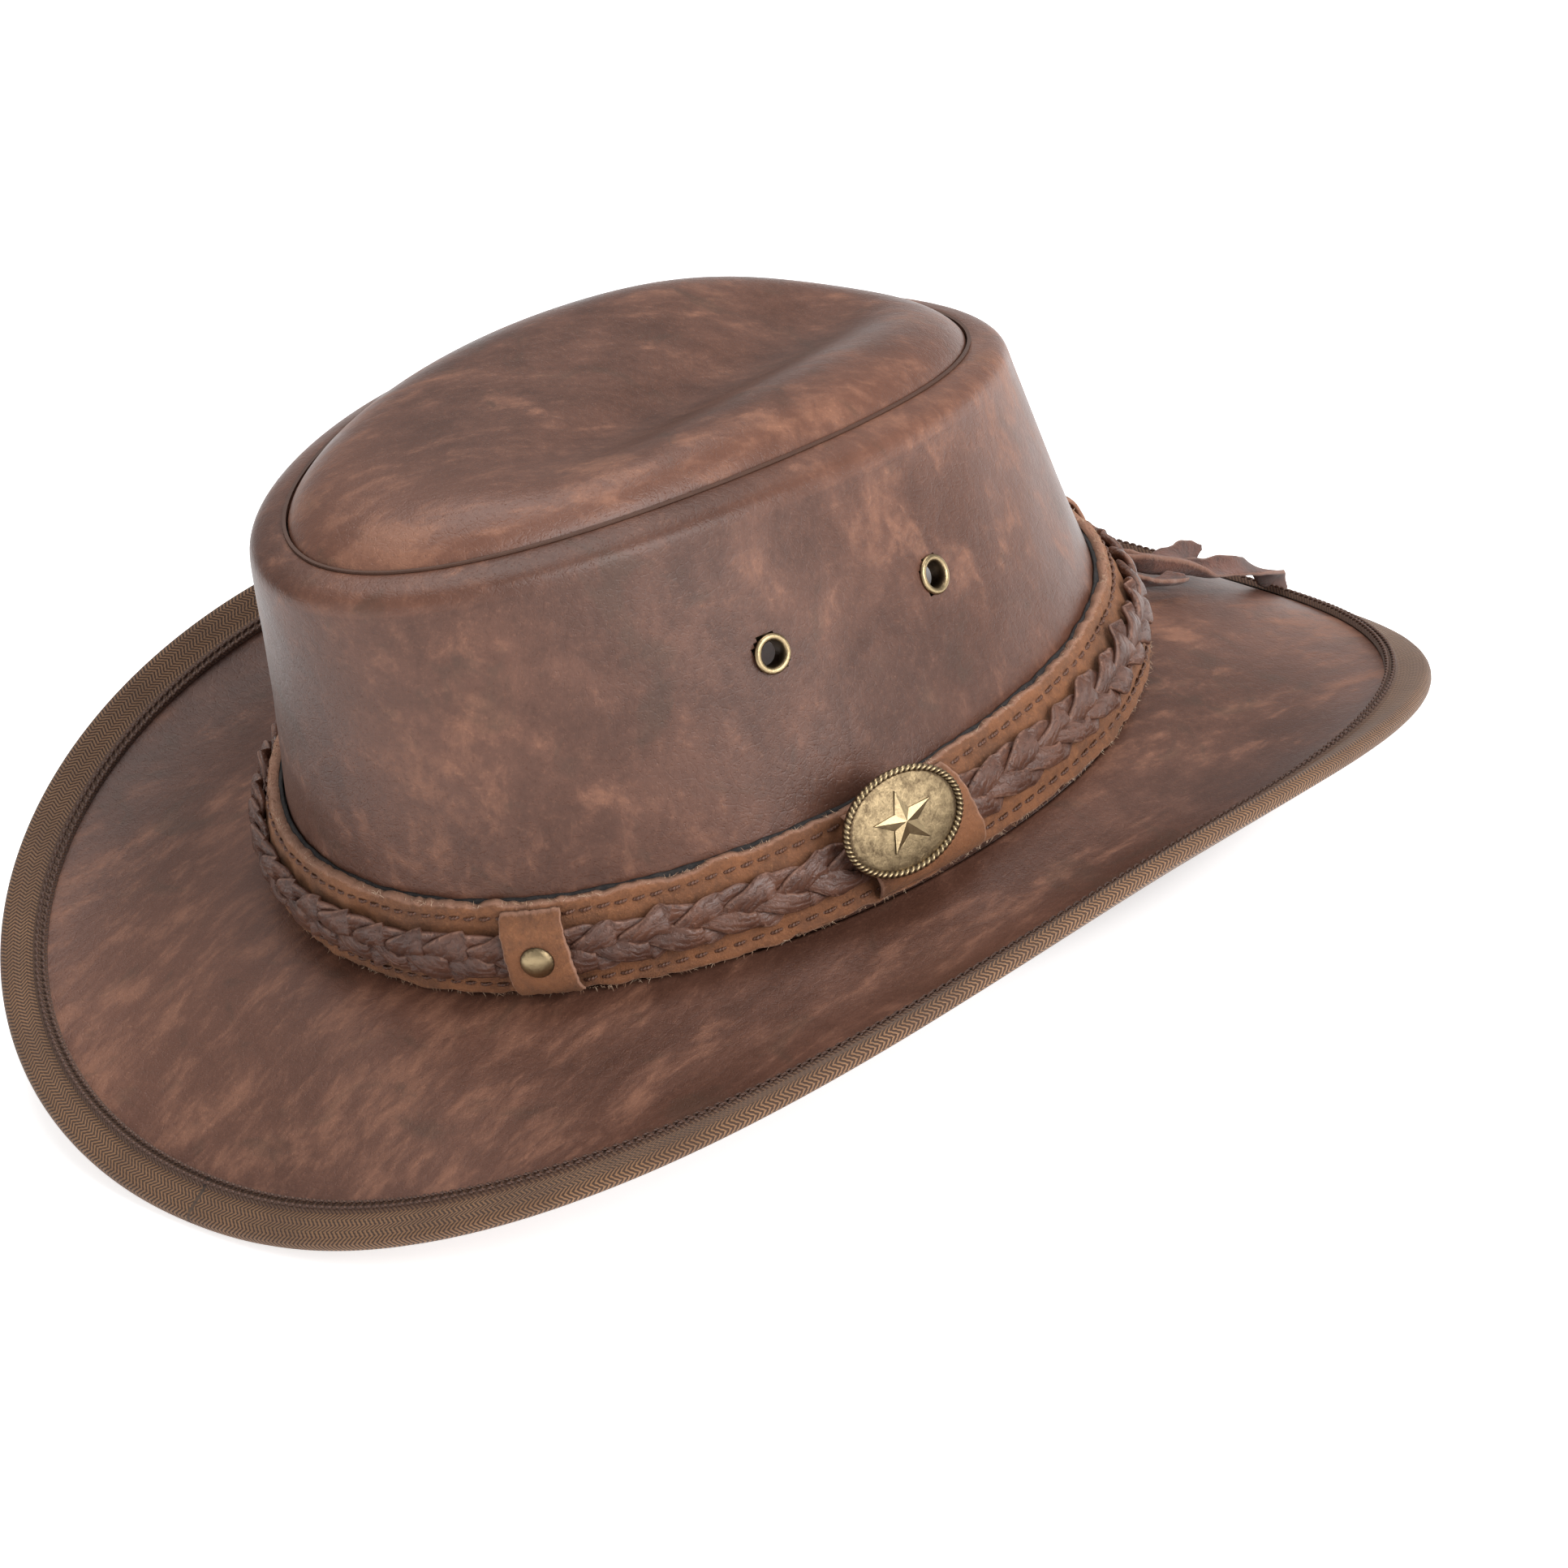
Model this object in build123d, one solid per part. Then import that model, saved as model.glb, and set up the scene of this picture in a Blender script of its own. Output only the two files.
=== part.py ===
from build123d import *
from math import cos, exp, pi, radians, sin, sqrt
import os

# Leather outback hat, millimetres. +Z up, the front of the hat towards -Y, the wearer's left towards +X.
# The origin is on the table under the middle of the brim. Angles round the hat start at the front.

# Crown, measured on the outside of the leather
LEATHER = 2.0
BASE_HALF_LENGTH = 101.9
BASE_HALF_WIDTH = 84.4
BASE_EXPONENT = 2.07
BASE_WAVE = -2.4
BASE_TILT = -2.6
CROWN_SHIFT = -1.9
SEAM_HALF_LENGTH = 92.8
SEAM_HALF_WIDTH = 48.2
SEAM_SHIFT = -10.2
SEAM_HEIGHT = 85.0
SEAM_TILT = 10.5
SEAM_SAG = -4.0
SEAM_BACK_RISE = 2.2
LIP_WIDTH = 9.2
LIP_HEIGHT = 5.2
TIP_RISE = 11.6
CREASE_DEPTH = 6.0
CREASE_WIDTH = 0.3
RIDGE_RISE = 4.2
SEAM_FLANGE = 6.0

# Brim, measured to the cut edge of the leather
BRIM_THICKNESS = 2.2
EDGE_HALF_LENGTH = 167.1
EDGE_HALF_WIDTH = 133.0
EDGE_EXPONENT = 2.317
EDGE_SHIFT = -1.45
EDGE_MEAN = -11.4
EDGE_CURL = -21.05
EDGE_SKEW = -1.1
SIDE_DIP = 25.0

# Binding folded over the brim's edge, with a wire inside the fold
TAPE_WIDTH = 7.4
TAPE_THICKNESS = 0.7
FOLD_CENTRE = 1.25
FOLD_RADIUS = 1.25
WIRE_RADIUS = 0.8
SLEEVE_RADIUS = 1.15
SLEEVE_ANGLE = 3.0

# Sweatband inside the crown
SWEATBAND_HEIGHT = 32.0
SWEATBAND_THICKNESS = 1.2
THREAD = 0.5
SEATING = 0.1
BRIM_GAP = 0.4
BRIM_SIDE_GAP = 1.9

# Hat band, offsets measured outwards from the crown leather
BACKING_START = 1.5
BACKING_THICKNESS = 1.2
BACKING_HEIGHT = 22.4
STRAP_HEIGHT = 20.6
STRAP_THICKNESS = 2.4
BAND_FOOT = 0.8
STITCH_MARGIN = 2.6
BRAID_WIDTH = 6.4
STRAND_WIDTH = 4.4
STRAND_THICKNESS = 1.3
STRAND_RISE = 1.0
STRAND_TURNS = 16
STRAND_RUNS = 8
BRAID_END = radians(164)

# Fittings
EYELET_ANGLES = (radians(71.8), radians(99.2))
EYELET_LEVEL = 0.666
EYELET_BORE = 2.7
EYELET_BARREL = 3.2
EYELET_FLANGE = 4.3
KEEPER_ANGLE = radians(28.2)
KEEPER_WIDTH = 14.5
BADGE_ANGLE = radians(75)
BADGE_HEIGHT = 16.0
BADGE_LONG = 31.0
BADGE_SHORT = 23.0
BADGE_THICKNESS = 2.0
RIVET_RADIUS = 3.7
SHANK_RADIUS = 1.2
TAIL_THICKNESS = 1.5
TAIL_ROOT = 112.0

TURN = 2 * pi


def oval(angle, half_length, half_width, exponent):
    """Point of a squared-off oval, as x and y, front at angle 0."""
    along, across = cos(angle), sin(angle)
    reach = (abs(along) ** exponent + abs(across) ** exponent) ** (-1 / exponent)
    return half_width * across * reach, -half_length * along * reach


def base_height(angle):
    return BASE_WAVE * cos(2 * angle) + BASE_TILT * cos(angle)


def seam_height(angle):
    return tip_plane(cos(angle), sin(angle))


def edge_height(angle):
    skew = EDGE_SKEW * (cos(3 * angle) - cos(angle))
    return EDGE_MEAN + EDGE_CURL * cos(2 * angle) + skew


def wall_point(angle, level):
    """Outside of the crown wall; level is 0 at the base, 1 under the lip and below 0 in the brim."""
    half_length = BASE_HALF_LENGTH + (SEAM_HALF_LENGTH + LIP_WIDTH - BASE_HALF_LENGTH) * level
    half_width = BASE_HALF_WIDTH + (SEAM_HALF_WIDTH + LIP_WIDTH - BASE_HALF_WIDTH) * level
    exponent = BASE_EXPONENT + (2.0 - BASE_EXPONENT) * level
    x, y = oval(angle, half_length, half_width, exponent)
    z = base_height(angle) * (1 - level) + (seam_height(angle) - LIP_HEIGHT) * level
    return Vector(x, y + CROWN_SHIFT + SEAM_SHIFT * level, z)


def lip_point(angle, turn):
    """Outside of the rolled lip; turn runs from 0 at the wall to 1 at the seam."""
    roll = turn * pi / 2
    reach = LIP_WIDTH * cos(roll) + SEATING
    x, y = oval(angle, SEAM_HALF_LENGTH + reach, SEAM_HALF_WIDTH + reach, 2.0)
    z = seam_height(angle) - LIP_HEIGHT * (1 - sin(roll))
    return Vector(x, y + CROWN_SHIFT + SEAM_SHIFT, z)


def brim_point(angle, reach):
    """Top of the brim leather; reach runs from 0 at the crown to 1 at the cut edge."""
    gap = BRIM_GAP + BRIM_SIDE_GAP * sin(angle) ** 2
    x0, y0 = oval(angle, BASE_HALF_LENGTH + gap, BASE_HALF_WIDTH + gap, BASE_EXPONENT)
    x1, y1 = oval(angle, EDGE_HALF_LENGTH, EDGE_HALF_WIDTH, EDGE_EXPONENT)
    start = base_height(angle)
    drop = edge_height(angle) - start
    side = sin(angle) ** 2
    fall = drop * (side * reach + (1 - side) * max(reach, 0) ** 1.5)
    dip = side * SIDE_DIP * reach * (1 - reach) * (1 + 0.4 * reach)
    y0 += CROWN_SHIFT
    y1 += EDGE_SHIFT
    return Vector(x0 + (x1 - x0) * reach, y0 + (y1 - y0) * reach, start + fall - dip)


def raised(surface, angle, step, lift, small=0.004):
    """Point of a surface moved along its outward normal."""
    round_way = surface(angle + small, step) - surface(angle - small, step)
    up_way = surface(angle, step + small) - surface(angle, step - small)
    if abs(sin(angle)) < 1e-6:
        round_way = Vector(cos(angle), 0, 0)
        up_way = Vector(0, up_way.Y, up_way.Z)
    normal = round_way.cross(up_way).normalized()
    return surface(angle, step) + normal * lift


def level_at(angle, height):
    """Wall level of a height above the base."""
    return height / (seam_height(angle) - LIP_HEIGHT - base_height(angle))


def on_wall(angle, height, lift):
    return raised(wall_point, angle, level_at(angle, height), lift)


def on_brim(angle, distance, lift):
    """Point above the brim leather, at a distance in from the cut edge."""
    width = (brim_point(angle, 1) - brim_point(angle, 0.9)).length * 10
    return raised(brim_point, angle, 1 - distance / width, -lift)


def spread(low, high, count):
    return [low + (high - low) * i / (count - 1) for i in range(count)]


def matching(edge, face):
    return min(face.edges(), key=lambda other: (other.center() - edge.center()).length)


def plate(front, back):
    """Closed solid between two grids of points laid out alike."""
    outer = Face.make_surface_from_array_of_points(front, tol=0.01)
    inner = Face.make_surface_from_array_of_points(back, tol=0.01)
    sides = [Face.make_surface_from_curves(edge, matching(edge, inner)) for edge in outer.edges()]
    return Solid(Shell([outer, inner] + sides))


def grid(angles, columns, place):
    return [[place(angle, column) for column in columns] for angle in angles]


def ring(columns, outside, inside, count=33):
    """Whole ring from its right half and the mirror image."""
    angles = spread(0, pi, count)
    half = plate(grid(angles, columns, outside), grid(angles, columns, inside))
    return half + half.mirror(Plane.YZ)


def wall_band(low, high, near, far, columns=5):
    """Strip round the crown between two heights and two lifts from the leather."""
    heights = spread(low, high, columns)
    return ring(heights, lambda a, h: on_wall(a, h, far), lambda a, h: on_wall(a, h, near))


def wall_patch(start, end, low, high, near, far):
    """Strip of limited length round the crown."""
    angles = spread(start, end, 9)
    heights = spread(low, high, 7)
    front = grid(angles, heights, lambda a, h: on_wall(a, h, far))
    back = grid(angles, heights, lambda a, h: on_wall(a, h, near))
    return plate(front, back)


def wall_axis(angle, height, lift):
    """Plane standing on the crown, its normal out of the leather and its x along the band."""
    here = on_wall(angle, height, lift)
    out = (on_wall(angle, height, lift + 1) - here).normalized()
    along = on_wall(angle + 0.01, height, lift) - on_wall(angle - 0.01, height, lift)
    return Plane(origin=here, x_dir=along, z_dir=out)


def crown_side():
    """Tapered wall, lip and the holes for the vent eyelets."""
    foot = -BRIM_THICKNESS / (SEAM_HEIGHT - LIP_HEIGHT)
    steps = [(0, level) for level in spread(foot, 0.98, 8)] + [(1, turn) for turn in spread(0.15, 1, 7)]

    def shape(angle, step):
        part, value = step
        return wall_point(angle, value) if part == 0 else lip_point(angle, value)

    def inner(angle, step):
        part, value = step
        surface = wall_point if part == 0 else lip_point
        return raised(surface, angle, value, -LEATHER)

    body = ring(steps, shape, inner, 41)
    for plane in eyelet_planes():
        body -= plane * Cylinder(EYELET_BARREL + SEATING, 12)
    return body


def tip_plane(along, across):
    """Seam surface carried across the top, from unit distances forwards and sideways."""
    tilt = SEAM_TILT * along + SEAM_BACK_RISE * ((1 - along) / 2) ** 4
    return SEAM_HEIGHT + tilt + SEAM_SAG * (along ** 2 - across ** 2)


def tip_surface(share, drop):
    """Rectangular sheet that holds a share of the dome, crease and far ridge of the top."""
    rows = []
    for along in spread(-1.06, 1.06, 31):
        row = []
        for across in spread(-1.06, 1.06, 31):
            radius = sqrt(along ** 2 + across ** 2)
            middle = 0.3 + 0.25 * along
            ends = max(1 - ((along + 0.12) / 0.86) ** 2, 0) ** 1.5
            valley = CREASE_DEPTH * exp(-((across - middle) / CREASE_WIDTH) ** 2) * ends
            ridge = RIDGE_RISE * exp(-((across + 0.55) / 0.32) ** 2 - ((along + 0.35) / 0.6) ** 2)
            shape = TIP_RISE * (1 - radius ** 6) + (ridge - valley) * (1 - radius ** 8)
            z = tip_plane(along, across) + share * shape - drop
            y = CROWN_SHIFT + SEAM_SHIFT - along * SEAM_HALF_LENGTH
            row.append(Vector(across * SEAM_HALF_WIDTH, y, z))
        rows.append(row)
    return Face.make_surface_from_array_of_points(rows, tol=0.01)


def seam_prism(inset, height=200):
    shape = Ellipse(SEAM_HALF_WIDTH - inset, SEAM_HALF_LENGTH - inset)
    return extrude(Pos(0, CROWN_SHIFT + SEAM_SHIFT, 0) * shape, height)


def crown_tip():
    """Domed oval panel with its edge turned down inside the seam."""
    deep = Vector(0, 0, -60)
    dome = Solid.extrude(tip_surface(1, 0), deep) & seam_prism(SEATING)
    hollow = Solid.extrude(tip_surface(1, LEATHER), deep) & seam_prism(1.6)
    below = Solid.extrude(tip_surface(0, SEAM_FLANGE), deep)
    return dome - hollow - below


def seam_tape():
    """Cloth tape round the turned-down edge, under the lip."""
    tube = seam_prism(-1.0) - seam_prism(-SEATING)
    top = Solid.extrude(tip_surface(0, LEATHER + 1.2), Vector(0, 0, -3.6))
    return tube & top


def seam_thread():
    """Thread lying in the groove between the lip and the tip."""
    def groove(angle, reach, lift):
        x, y = oval(angle, SEAM_HALF_LENGTH + reach, SEAM_HALF_WIDTH + reach, 2.0)
        return Vector(x, y + CROWN_SHIFT + SEAM_SHIFT, seam_height(angle) + lift)

    reaches = (0.2, 0.6, 1.0)
    return ring(reaches, lambda a, r: groove(a, r, 0.6), lambda a, r: groove(a, r, 0.1))


def eyelet_planes():
    """Four vents, two on each side."""
    planes = []
    for angle in EYELET_ANGLES:
        for place in (angle, -angle):
            here = wall_point(place, EYELET_LEVEL)
            out = raised(wall_point, place, EYELET_LEVEL, 1) - here
            planes.append(Plane(origin=here, x_dir=(0, 1, 0), z_dir=out))
    return planes


def vent_eyelets():
    """Brass eyelet: a rolled flange outside and a barrel through the leather."""
    flange = Pos(0, 0, 0.47) * (Cylinder(EYELET_FLANGE, 0.9) - Cylinder(EYELET_BORE, 2))
    flange = fillet(flange.edges().filter_by(GeomType.CIRCLE).group_by(Axis.Z)[-1], 0.4)
    barrel_length = LEATHER + 1.4
    barrel = Cylinder(EYELET_BARREL, barrel_length) - Cylinder(EYELET_BORE, barrel_length + 1)
    eyelet = flange + Pos(0, 0, 0.3 - barrel_length / 2) * barrel
    return Compound([plane * eyelet for plane in eyelet_planes()])


def vent_washers():
    washer = Cylinder(5.0, 0.5) - Cylinder(EYELET_BARREL + SEATING, 1)
    return Compound([plane * (Pos(0, 0, -LEATHER - 0.55) * washer) for plane in eyelet_planes()])


def brim():
    reaches = spread(0, 1, 13)
    return ring(reaches, brim_point, lambda a, r: raised(brim_point, a, r, BRIM_THICKNESS), 49)


def fold_frame(angle):
    """Cut edge of the brim, with the directions out of the edge and up from the leather."""
    edge = on_brim(angle, 0, 0)
    up = (on_brim(angle, 0, 1) - edge).normalized()
    inward = on_brim(angle, 1, 0) - edge
    out = (up * inward.dot(up) - inward).normalized()
    return edge, out, up


def fold_point(angle, step, lift):
    """Point of the folded tape; steps run from the top inner edge round to the underside."""
    part, value = step
    middle = -BRIM_THICKNESS / 2
    radius = FOLD_RADIUS + lift
    if part == "top":
        return on_brim(angle, value, middle + radius)
    if part == "under":
        return on_brim(angle, value, middle - radius)
    edge, out, up = fold_frame(angle)
    bend = radians(value)
    return edge + out * (FOLD_CENTRE + radius * sin(bend)) + up * (middle + radius * cos(bend))


def brim_binding():
    steps = [("top", TAPE_WIDTH * k) for k in (1, 0.75, 0.5, 0.25, 0.05)]
    steps += [("bend", angle) for angle in (15, 50, 90, 130, 165)]
    steps += [("under", TAPE_WIDTH * k) for k in (0.05, 0.25, 0.5, 0.75, 1)]
    outside = lambda a, s: fold_point(a, s, TAPE_THICKNESS)
    return ring(steps, outside, lambda a, s: fold_point(a, s, 0), 49)


def binding_stitching():
    """Two rows of thread along the inner edge of the tape."""
    top = FOLD_RADIUS + TAPE_THICKNESS - BRIM_THICKNESS / 2 + 0.05
    rows = []
    for distance in (TAPE_WIDTH - 1.0, TAPE_WIDTH - 2.6):
        across = [distance, distance - 0.35, distance - 0.7]
        rows.append(ring(across, lambda a, d: on_brim(a, d, top + THREAD), lambda a, d: on_brim(a, d, top), 49))
    return Compound(rows)


def wire_path(start, end, count):
    points = []
    for angle in spread(start, end, count):
        edge, out, up = fold_frame(angle)
        points.append(edge + out * FOLD_CENTRE - up * (BRIM_THICKNESS / 2))
    return Spline(points)


def rod(path, radius):
    return sweep(Plane(origin=path @ 0, z_dir=path % 0) * Circle(radius), path)


def brim_wire():
    """Steel wire with its two ends meeting at the back."""
    gap = radians(0.3)
    return rod(wire_path(-pi + gap, pi - gap, 73), WIRE_RADIUS)


def wire_sleeve():
    half = radians(SLEEVE_ANGLE)
    path = wire_path(pi - half, pi + half, 7)
    longer = wire_path(pi - half * 1.3, pi + half * 1.3, 9)
    return rod(path, SLEEVE_RADIUS) - rod(longer, WIRE_RADIUS + 0.08)


def sweatband():
    far = -LEATHER - SEATING
    return wall_band(-BRIM_THICKNESS, SWEATBAND_HEIGHT, far - SWEATBAND_THICKNESS, far)


def sweatband_stitching():
    far = -LEATHER - SEATING - SWEATBAND_THICKNESS - 0.05
    return wall_band(1.6, 2.4, far - THREAD, far, 3)


def back_seam_tape():
    """Strip glued inside the crown over the join at the back."""
    half = radians(4)
    far = -LEATHER - SEATING
    return wall_patch(pi - half, pi + half, SWEATBAND_HEIGHT + 1, 54, far - 0.9, far)


def back_seam_stitching():
    """Two short upright rows at the back, above the hat band."""
    rows = []
    for middle in (radians(178), radians(182)):
        half = radians(0.25)
        rows.append(wall_patch(middle - half, middle + half, 27, 58, 0.05, 0.05 + 0.4))
    return Compound(rows)


def band_backing():
    return wall_band(BAND_FOOT, BAND_FOOT + BACKING_HEIGHT, BACKING_START, BACKING_START + BACKING_THICKNESS)


def strap_start():
    return BACKING_START + BACKING_THICKNESS + SEATING / 2


def strap_face():
    return strap_start() + STRAP_THICKNESS


def band_strap():
    return wall_band(BAND_FOOT, BAND_FOOT + STRAP_HEIGHT, strap_start(), strap_face())


def strap_stitching(height):
    return wall_band(height - 0.4, height + 0.4, strap_face() + 0.05, strap_face() + 0.05 + THREAD, 3)


def strand_point(angle, phase, across, rise):
    """Point of a braid strand: it swings across the strap and passes over and under."""
    swing = STRAND_TURNS * angle / (2 * BRAID_END) * TURN + phase
    height = BAND_FOOT + STRAP_HEIGHT / 2 + BRAID_WIDTH / 2 * sin(swing) + across
    middle = strap_face() + SEATING + STRAND_RISE + STRAND_THICKNESS / 2
    return on_wall(angle, height, middle + STRAND_RISE * sin(2 * swing) + rise)


def braid_strand(index):
    """One strand, made in short runs that are joined end to end."""
    phase = TURN * index / 3
    half = STRAND_WIDTH / 2
    across = (-half, 0, half)
    stops = spread(-BRAID_END, BRAID_END, STRAND_RUNS + 1)
    runs = []
    for start, end in zip(stops[:-1], stops[1:]):
        angles = spread(start, end, 16 * STRAND_TURNS // STRAND_RUNS + 1)
        front = grid(angles, across, lambda a, w: strand_point(a, phase, w, STRAND_THICKNESS / 2))
        back = grid(angles, across, lambda a, w: strand_point(a, phase, w, -STRAND_THICKNESS / 2))
        runs.append(drilled(plate(front, back)))
    return runs[0].fuse(*runs[1:])


def braid_top():
    return strap_face() + SEATING + 2 * STRAND_RISE + STRAND_THICKNESS


def arched_cover(middle, width, low, high, thickness=1.3):
    """Leather cover whose feet stand on the strap and whose middle clears the braid."""
    radius = on_wall(middle, 0, 0)
    half = width / 2 / sqrt(radius.X ** 2 + radius.Y ** 2)
    angles = spread(middle - half, middle + half, 7)
    foot, top = strap_face() + 0.1, braid_top() + 0.15

    def arch(angle, share, lift):
        rise = (top - foot) * (1 - (2 * share - 1) ** 4)
        return on_wall(angle, low + (high - low) * share, foot + rise + lift)

    shares = spread(0, 1, 15)
    front = grid(angles, shares, lambda a, s: arch(a, s, thickness))
    back = grid(angles, shares, lambda a, s: arch(a, s, 0))
    return plate(front, back)


def rivet_bore(radius):
    """Drilling for the rivet that holds the front keeper."""
    middle = BAND_FOOT + STRAP_HEIGHT / 2
    return wall_axis(KEEPER_ANGLE, middle, BACKING_START) * Cylinder(radius, 30)


def badge_bore(radius):
    """Drilling for the badge's post."""
    return wall_axis(BADGE_ANGLE, BADGE_HEIGHT, BACKING_START) * Cylinder(radius, 30)


def keeper_rivet():
    """Domed head on a plain shank."""
    middle = BAND_FOOT + STRAP_HEIGHT / 2
    head_start = braid_top() + 0.15 + 1.3 + 0.12
    sphere_radius = 5.2
    sunk = sqrt(sphere_radius ** 2 - RIVET_RADIUS ** 2)
    head = (Pos(0, 0, -sunk) * Sphere(sphere_radius)) & (Pos(0, 0, 5) * Box(20, 20, 10))
    length = head_start - BACKING_START
    shank = Pos(0, 0, 0.2 - (length + 0.2) / 2) * Cylinder(SHANK_RADIUS, length + 0.2)
    return wall_axis(KEEPER_ANGLE, middle, head_start) * (head + shank)


def badge_start():
    return braid_top() + 0.15 + 1.3 + 0.5


def star(radius, inner, points=5):
    corners = []
    for index in range(2 * points):
        reach = radius if index % 2 == 0 else inner
        turn = pi / 2 + index * pi / points
        corners.append((reach * cos(turn), reach * sin(turn)))
    return make_face(Polyline(*corners, close=True))


def badge():
    """Oval plate with a round raised rim, a bead line and a plain star."""
    long_way, short_way = BADGE_LONG / 2, BADGE_SHORT / 2
    rim = 0.95
    body = extrude(Ellipse(long_way - rim, short_way - rim), BADGE_THICKNESS - 0.8)
    path = Edge.make_ellipse(long_way - rim, short_way - rim)
    section = Plane(origin=path @ 0, z_dir=path % 0) * Circle(rim)
    body += Pos(0, 0, rim) * sweep(section, path)
    inner_ring = Ellipse(long_way - 3.4, short_way - 3.4) - Ellipse(long_way - 4.0, short_way - 4.0)
    body += extrude(inner_ring, BADGE_THICKNESS - 0.4)
    body += extrude(star(6.2, 2.6), BADGE_THICKNESS)
    return wall_axis(BADGE_ANGLE, BADGE_HEIGHT, badge_start()) * body


def badge_post():
    """Post from the badge down to the backing, with a flat clip on its end."""
    length = badge_start() - 0.05 - BACKING_START
    shank = Pos(0, 0, -0.05 - length / 2) * Cylinder(SHANK_RADIUS, length)
    return wall_axis(BADGE_ANGLE, BADGE_HEIGHT, badge_start()) * shank


def tail(plan, widths):
    """Thong that lies out over the back of the brim; plan points are x and y."""
    front, back = [], []
    for (x, y), width in zip(plan, widths):
        share = (y - TAIL_ROOT) / (EDGE_HALF_LENGTH + EDGE_SHIFT - TAIL_ROOT)
        over = base_height(pi) + 5.2 * (1 - share) ** 3 + 2.6
        reach = (y - 100) / (EDGE_HALF_LENGTH + EDGE_SHIFT - 100)
        z = over + (edge_height(pi) - base_height(pi)) * reach ** 1.5
        row = [Vector(x + side * width / 2, y, z) for side in (-1, 0, 1)]
        front.append([point + Vector(0, 0, TAIL_THICKNESS) for point in row])
        back.append(row)
    return plate(front, back)


def tail_long():
    plan = [(0, TAIL_ROOT), (0.5, 120), (3, 132), (8, 144), (16, 154), (26, 161)]
    return tail(plan, (5.5, 6, 6.5, 6, 5.5, 4))


def tail_short():
    plan = [(-9, TAIL_ROOT), (-9, 120), (-8, 132), (-5, 144), (-2, 152), (1, 160)]
    return tail(plan, (5, 6, 6.5, 6, 5, 3.5))


def tail_stub():
    plan = [(9, TAIL_ROOT), (9.5, 117), (12, 123), (15, 128), (19, 133)]
    return tail(plan, (5, 5.5, 6, 5, 4))


def drilled(body):
    return body - rivet_bore(SHANK_RADIUS + 0.05) - badge_bore(SHANK_RADIUS + 0.05)


def build():
    middle = BAND_FOOT + STRAP_HEIGHT / 2
    top = BAND_FOOT + STRAP_HEIGHT
    parts = {
        "crown_side": crown_side,
        "crown_tip": crown_tip,
        "crown_seam_tape": seam_tape,
        "crown_seam_thread": seam_thread,
        "crown_back_tape": back_seam_tape,
        "crown_back_stitching": back_seam_stitching,
        "vent_eyelets": vent_eyelets,
        "vent_washers": vent_washers,
        "brim": brim,
        "brim_binding": brim_binding,
        "binding_stitching": binding_stitching,
        "brim_wire": brim_wire,
        "wire_sleeve": wire_sleeve,
        "sweatband": sweatband,
        "sweatband_stitching": sweatband_stitching,
        "band_backing": lambda: drilled(band_backing()),
        "band_strap": lambda: drilled(band_strap()),
        "strap_stitching_upper": lambda: strap_stitching(top - STITCH_MARGIN),
        "strap_stitching_lower": lambda: strap_stitching(BAND_FOOT + STITCH_MARGIN),
        "braid_strand_a": lambda: braid_strand(0),
        "braid_strand_b": lambda: braid_strand(1),
        "braid_strand_c": lambda: braid_strand(2),
        "keeper_front": lambda: drilled(arched_cover(KEEPER_ANGLE, KEEPER_WIDTH, 2.4, top - 1.4)),
        "keeper_badge": lambda: drilled(arched_cover(BADGE_ANGLE, 28, 2.0, top - 0.6)),
        "keeper_back": lambda: arched_cover(pi, 42, 2.0, top - 0.6),
        "keeper_rivet": keeper_rivet,
        "badge": badge,
        "badge_post": badge_post,
        "tail_long": tail_long,
        "tail_short": tail_short,
        "tail_stub": tail_stub,
    }
    return parts


def ground():
    """Height of the crown's base over the table, from the lowest line of the bound edge."""
    angles = spread(0, pi, 181)
    turns = spread(0, 180, 19)
    return -min(fold_point(a, ("bend", t), TAPE_THICKNESS).Z for a in angles for t in turns)


os.makedirs("parts", exist_ok=True)
seat = Pos(0, -EDGE_SHIFT, ground())
print("base height", round(ground(), 3))
for name, make in build().items():
    solid = seat * make()
    box = solid.bounding_box()
    print(name, len(solid.solids()), solid.is_valid, round(solid.volume), box.min, box.max)
    export_step(solid, f"parts/{name}.step")
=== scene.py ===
from math import cos, pi, radians, sin, tau

import bpy
import numpy as np
from bpy.props import FloatProperty, FloatVectorProperty, IntProperty, PointerProperty
from bpy.types import Operator, Panel, PropertyGroup
from mathutils import Matrix, Vector


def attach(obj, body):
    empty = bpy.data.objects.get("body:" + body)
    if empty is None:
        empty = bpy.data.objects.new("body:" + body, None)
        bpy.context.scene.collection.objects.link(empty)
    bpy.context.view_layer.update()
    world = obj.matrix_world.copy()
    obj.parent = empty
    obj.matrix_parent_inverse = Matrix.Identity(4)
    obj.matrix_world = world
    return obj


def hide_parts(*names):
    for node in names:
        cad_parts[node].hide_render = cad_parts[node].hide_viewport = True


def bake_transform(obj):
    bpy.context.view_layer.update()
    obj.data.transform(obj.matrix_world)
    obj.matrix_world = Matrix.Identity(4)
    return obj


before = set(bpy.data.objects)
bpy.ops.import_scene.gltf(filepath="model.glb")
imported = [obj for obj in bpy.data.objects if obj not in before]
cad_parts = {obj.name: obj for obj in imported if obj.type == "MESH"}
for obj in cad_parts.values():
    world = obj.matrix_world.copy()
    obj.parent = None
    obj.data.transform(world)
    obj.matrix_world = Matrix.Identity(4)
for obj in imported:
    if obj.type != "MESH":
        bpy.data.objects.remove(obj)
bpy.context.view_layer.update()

bl_info = {
    "name": "Leather outback hat",
    "version": (1, 0, 0),
    "blender": (4, 5, 0),
    "location": "3D View > Sidebar > Hat",
    "description": "Builds a leather hat with a braided band on its CAD frame",
    "category": "Object",
}

MM = 0.001


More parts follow.
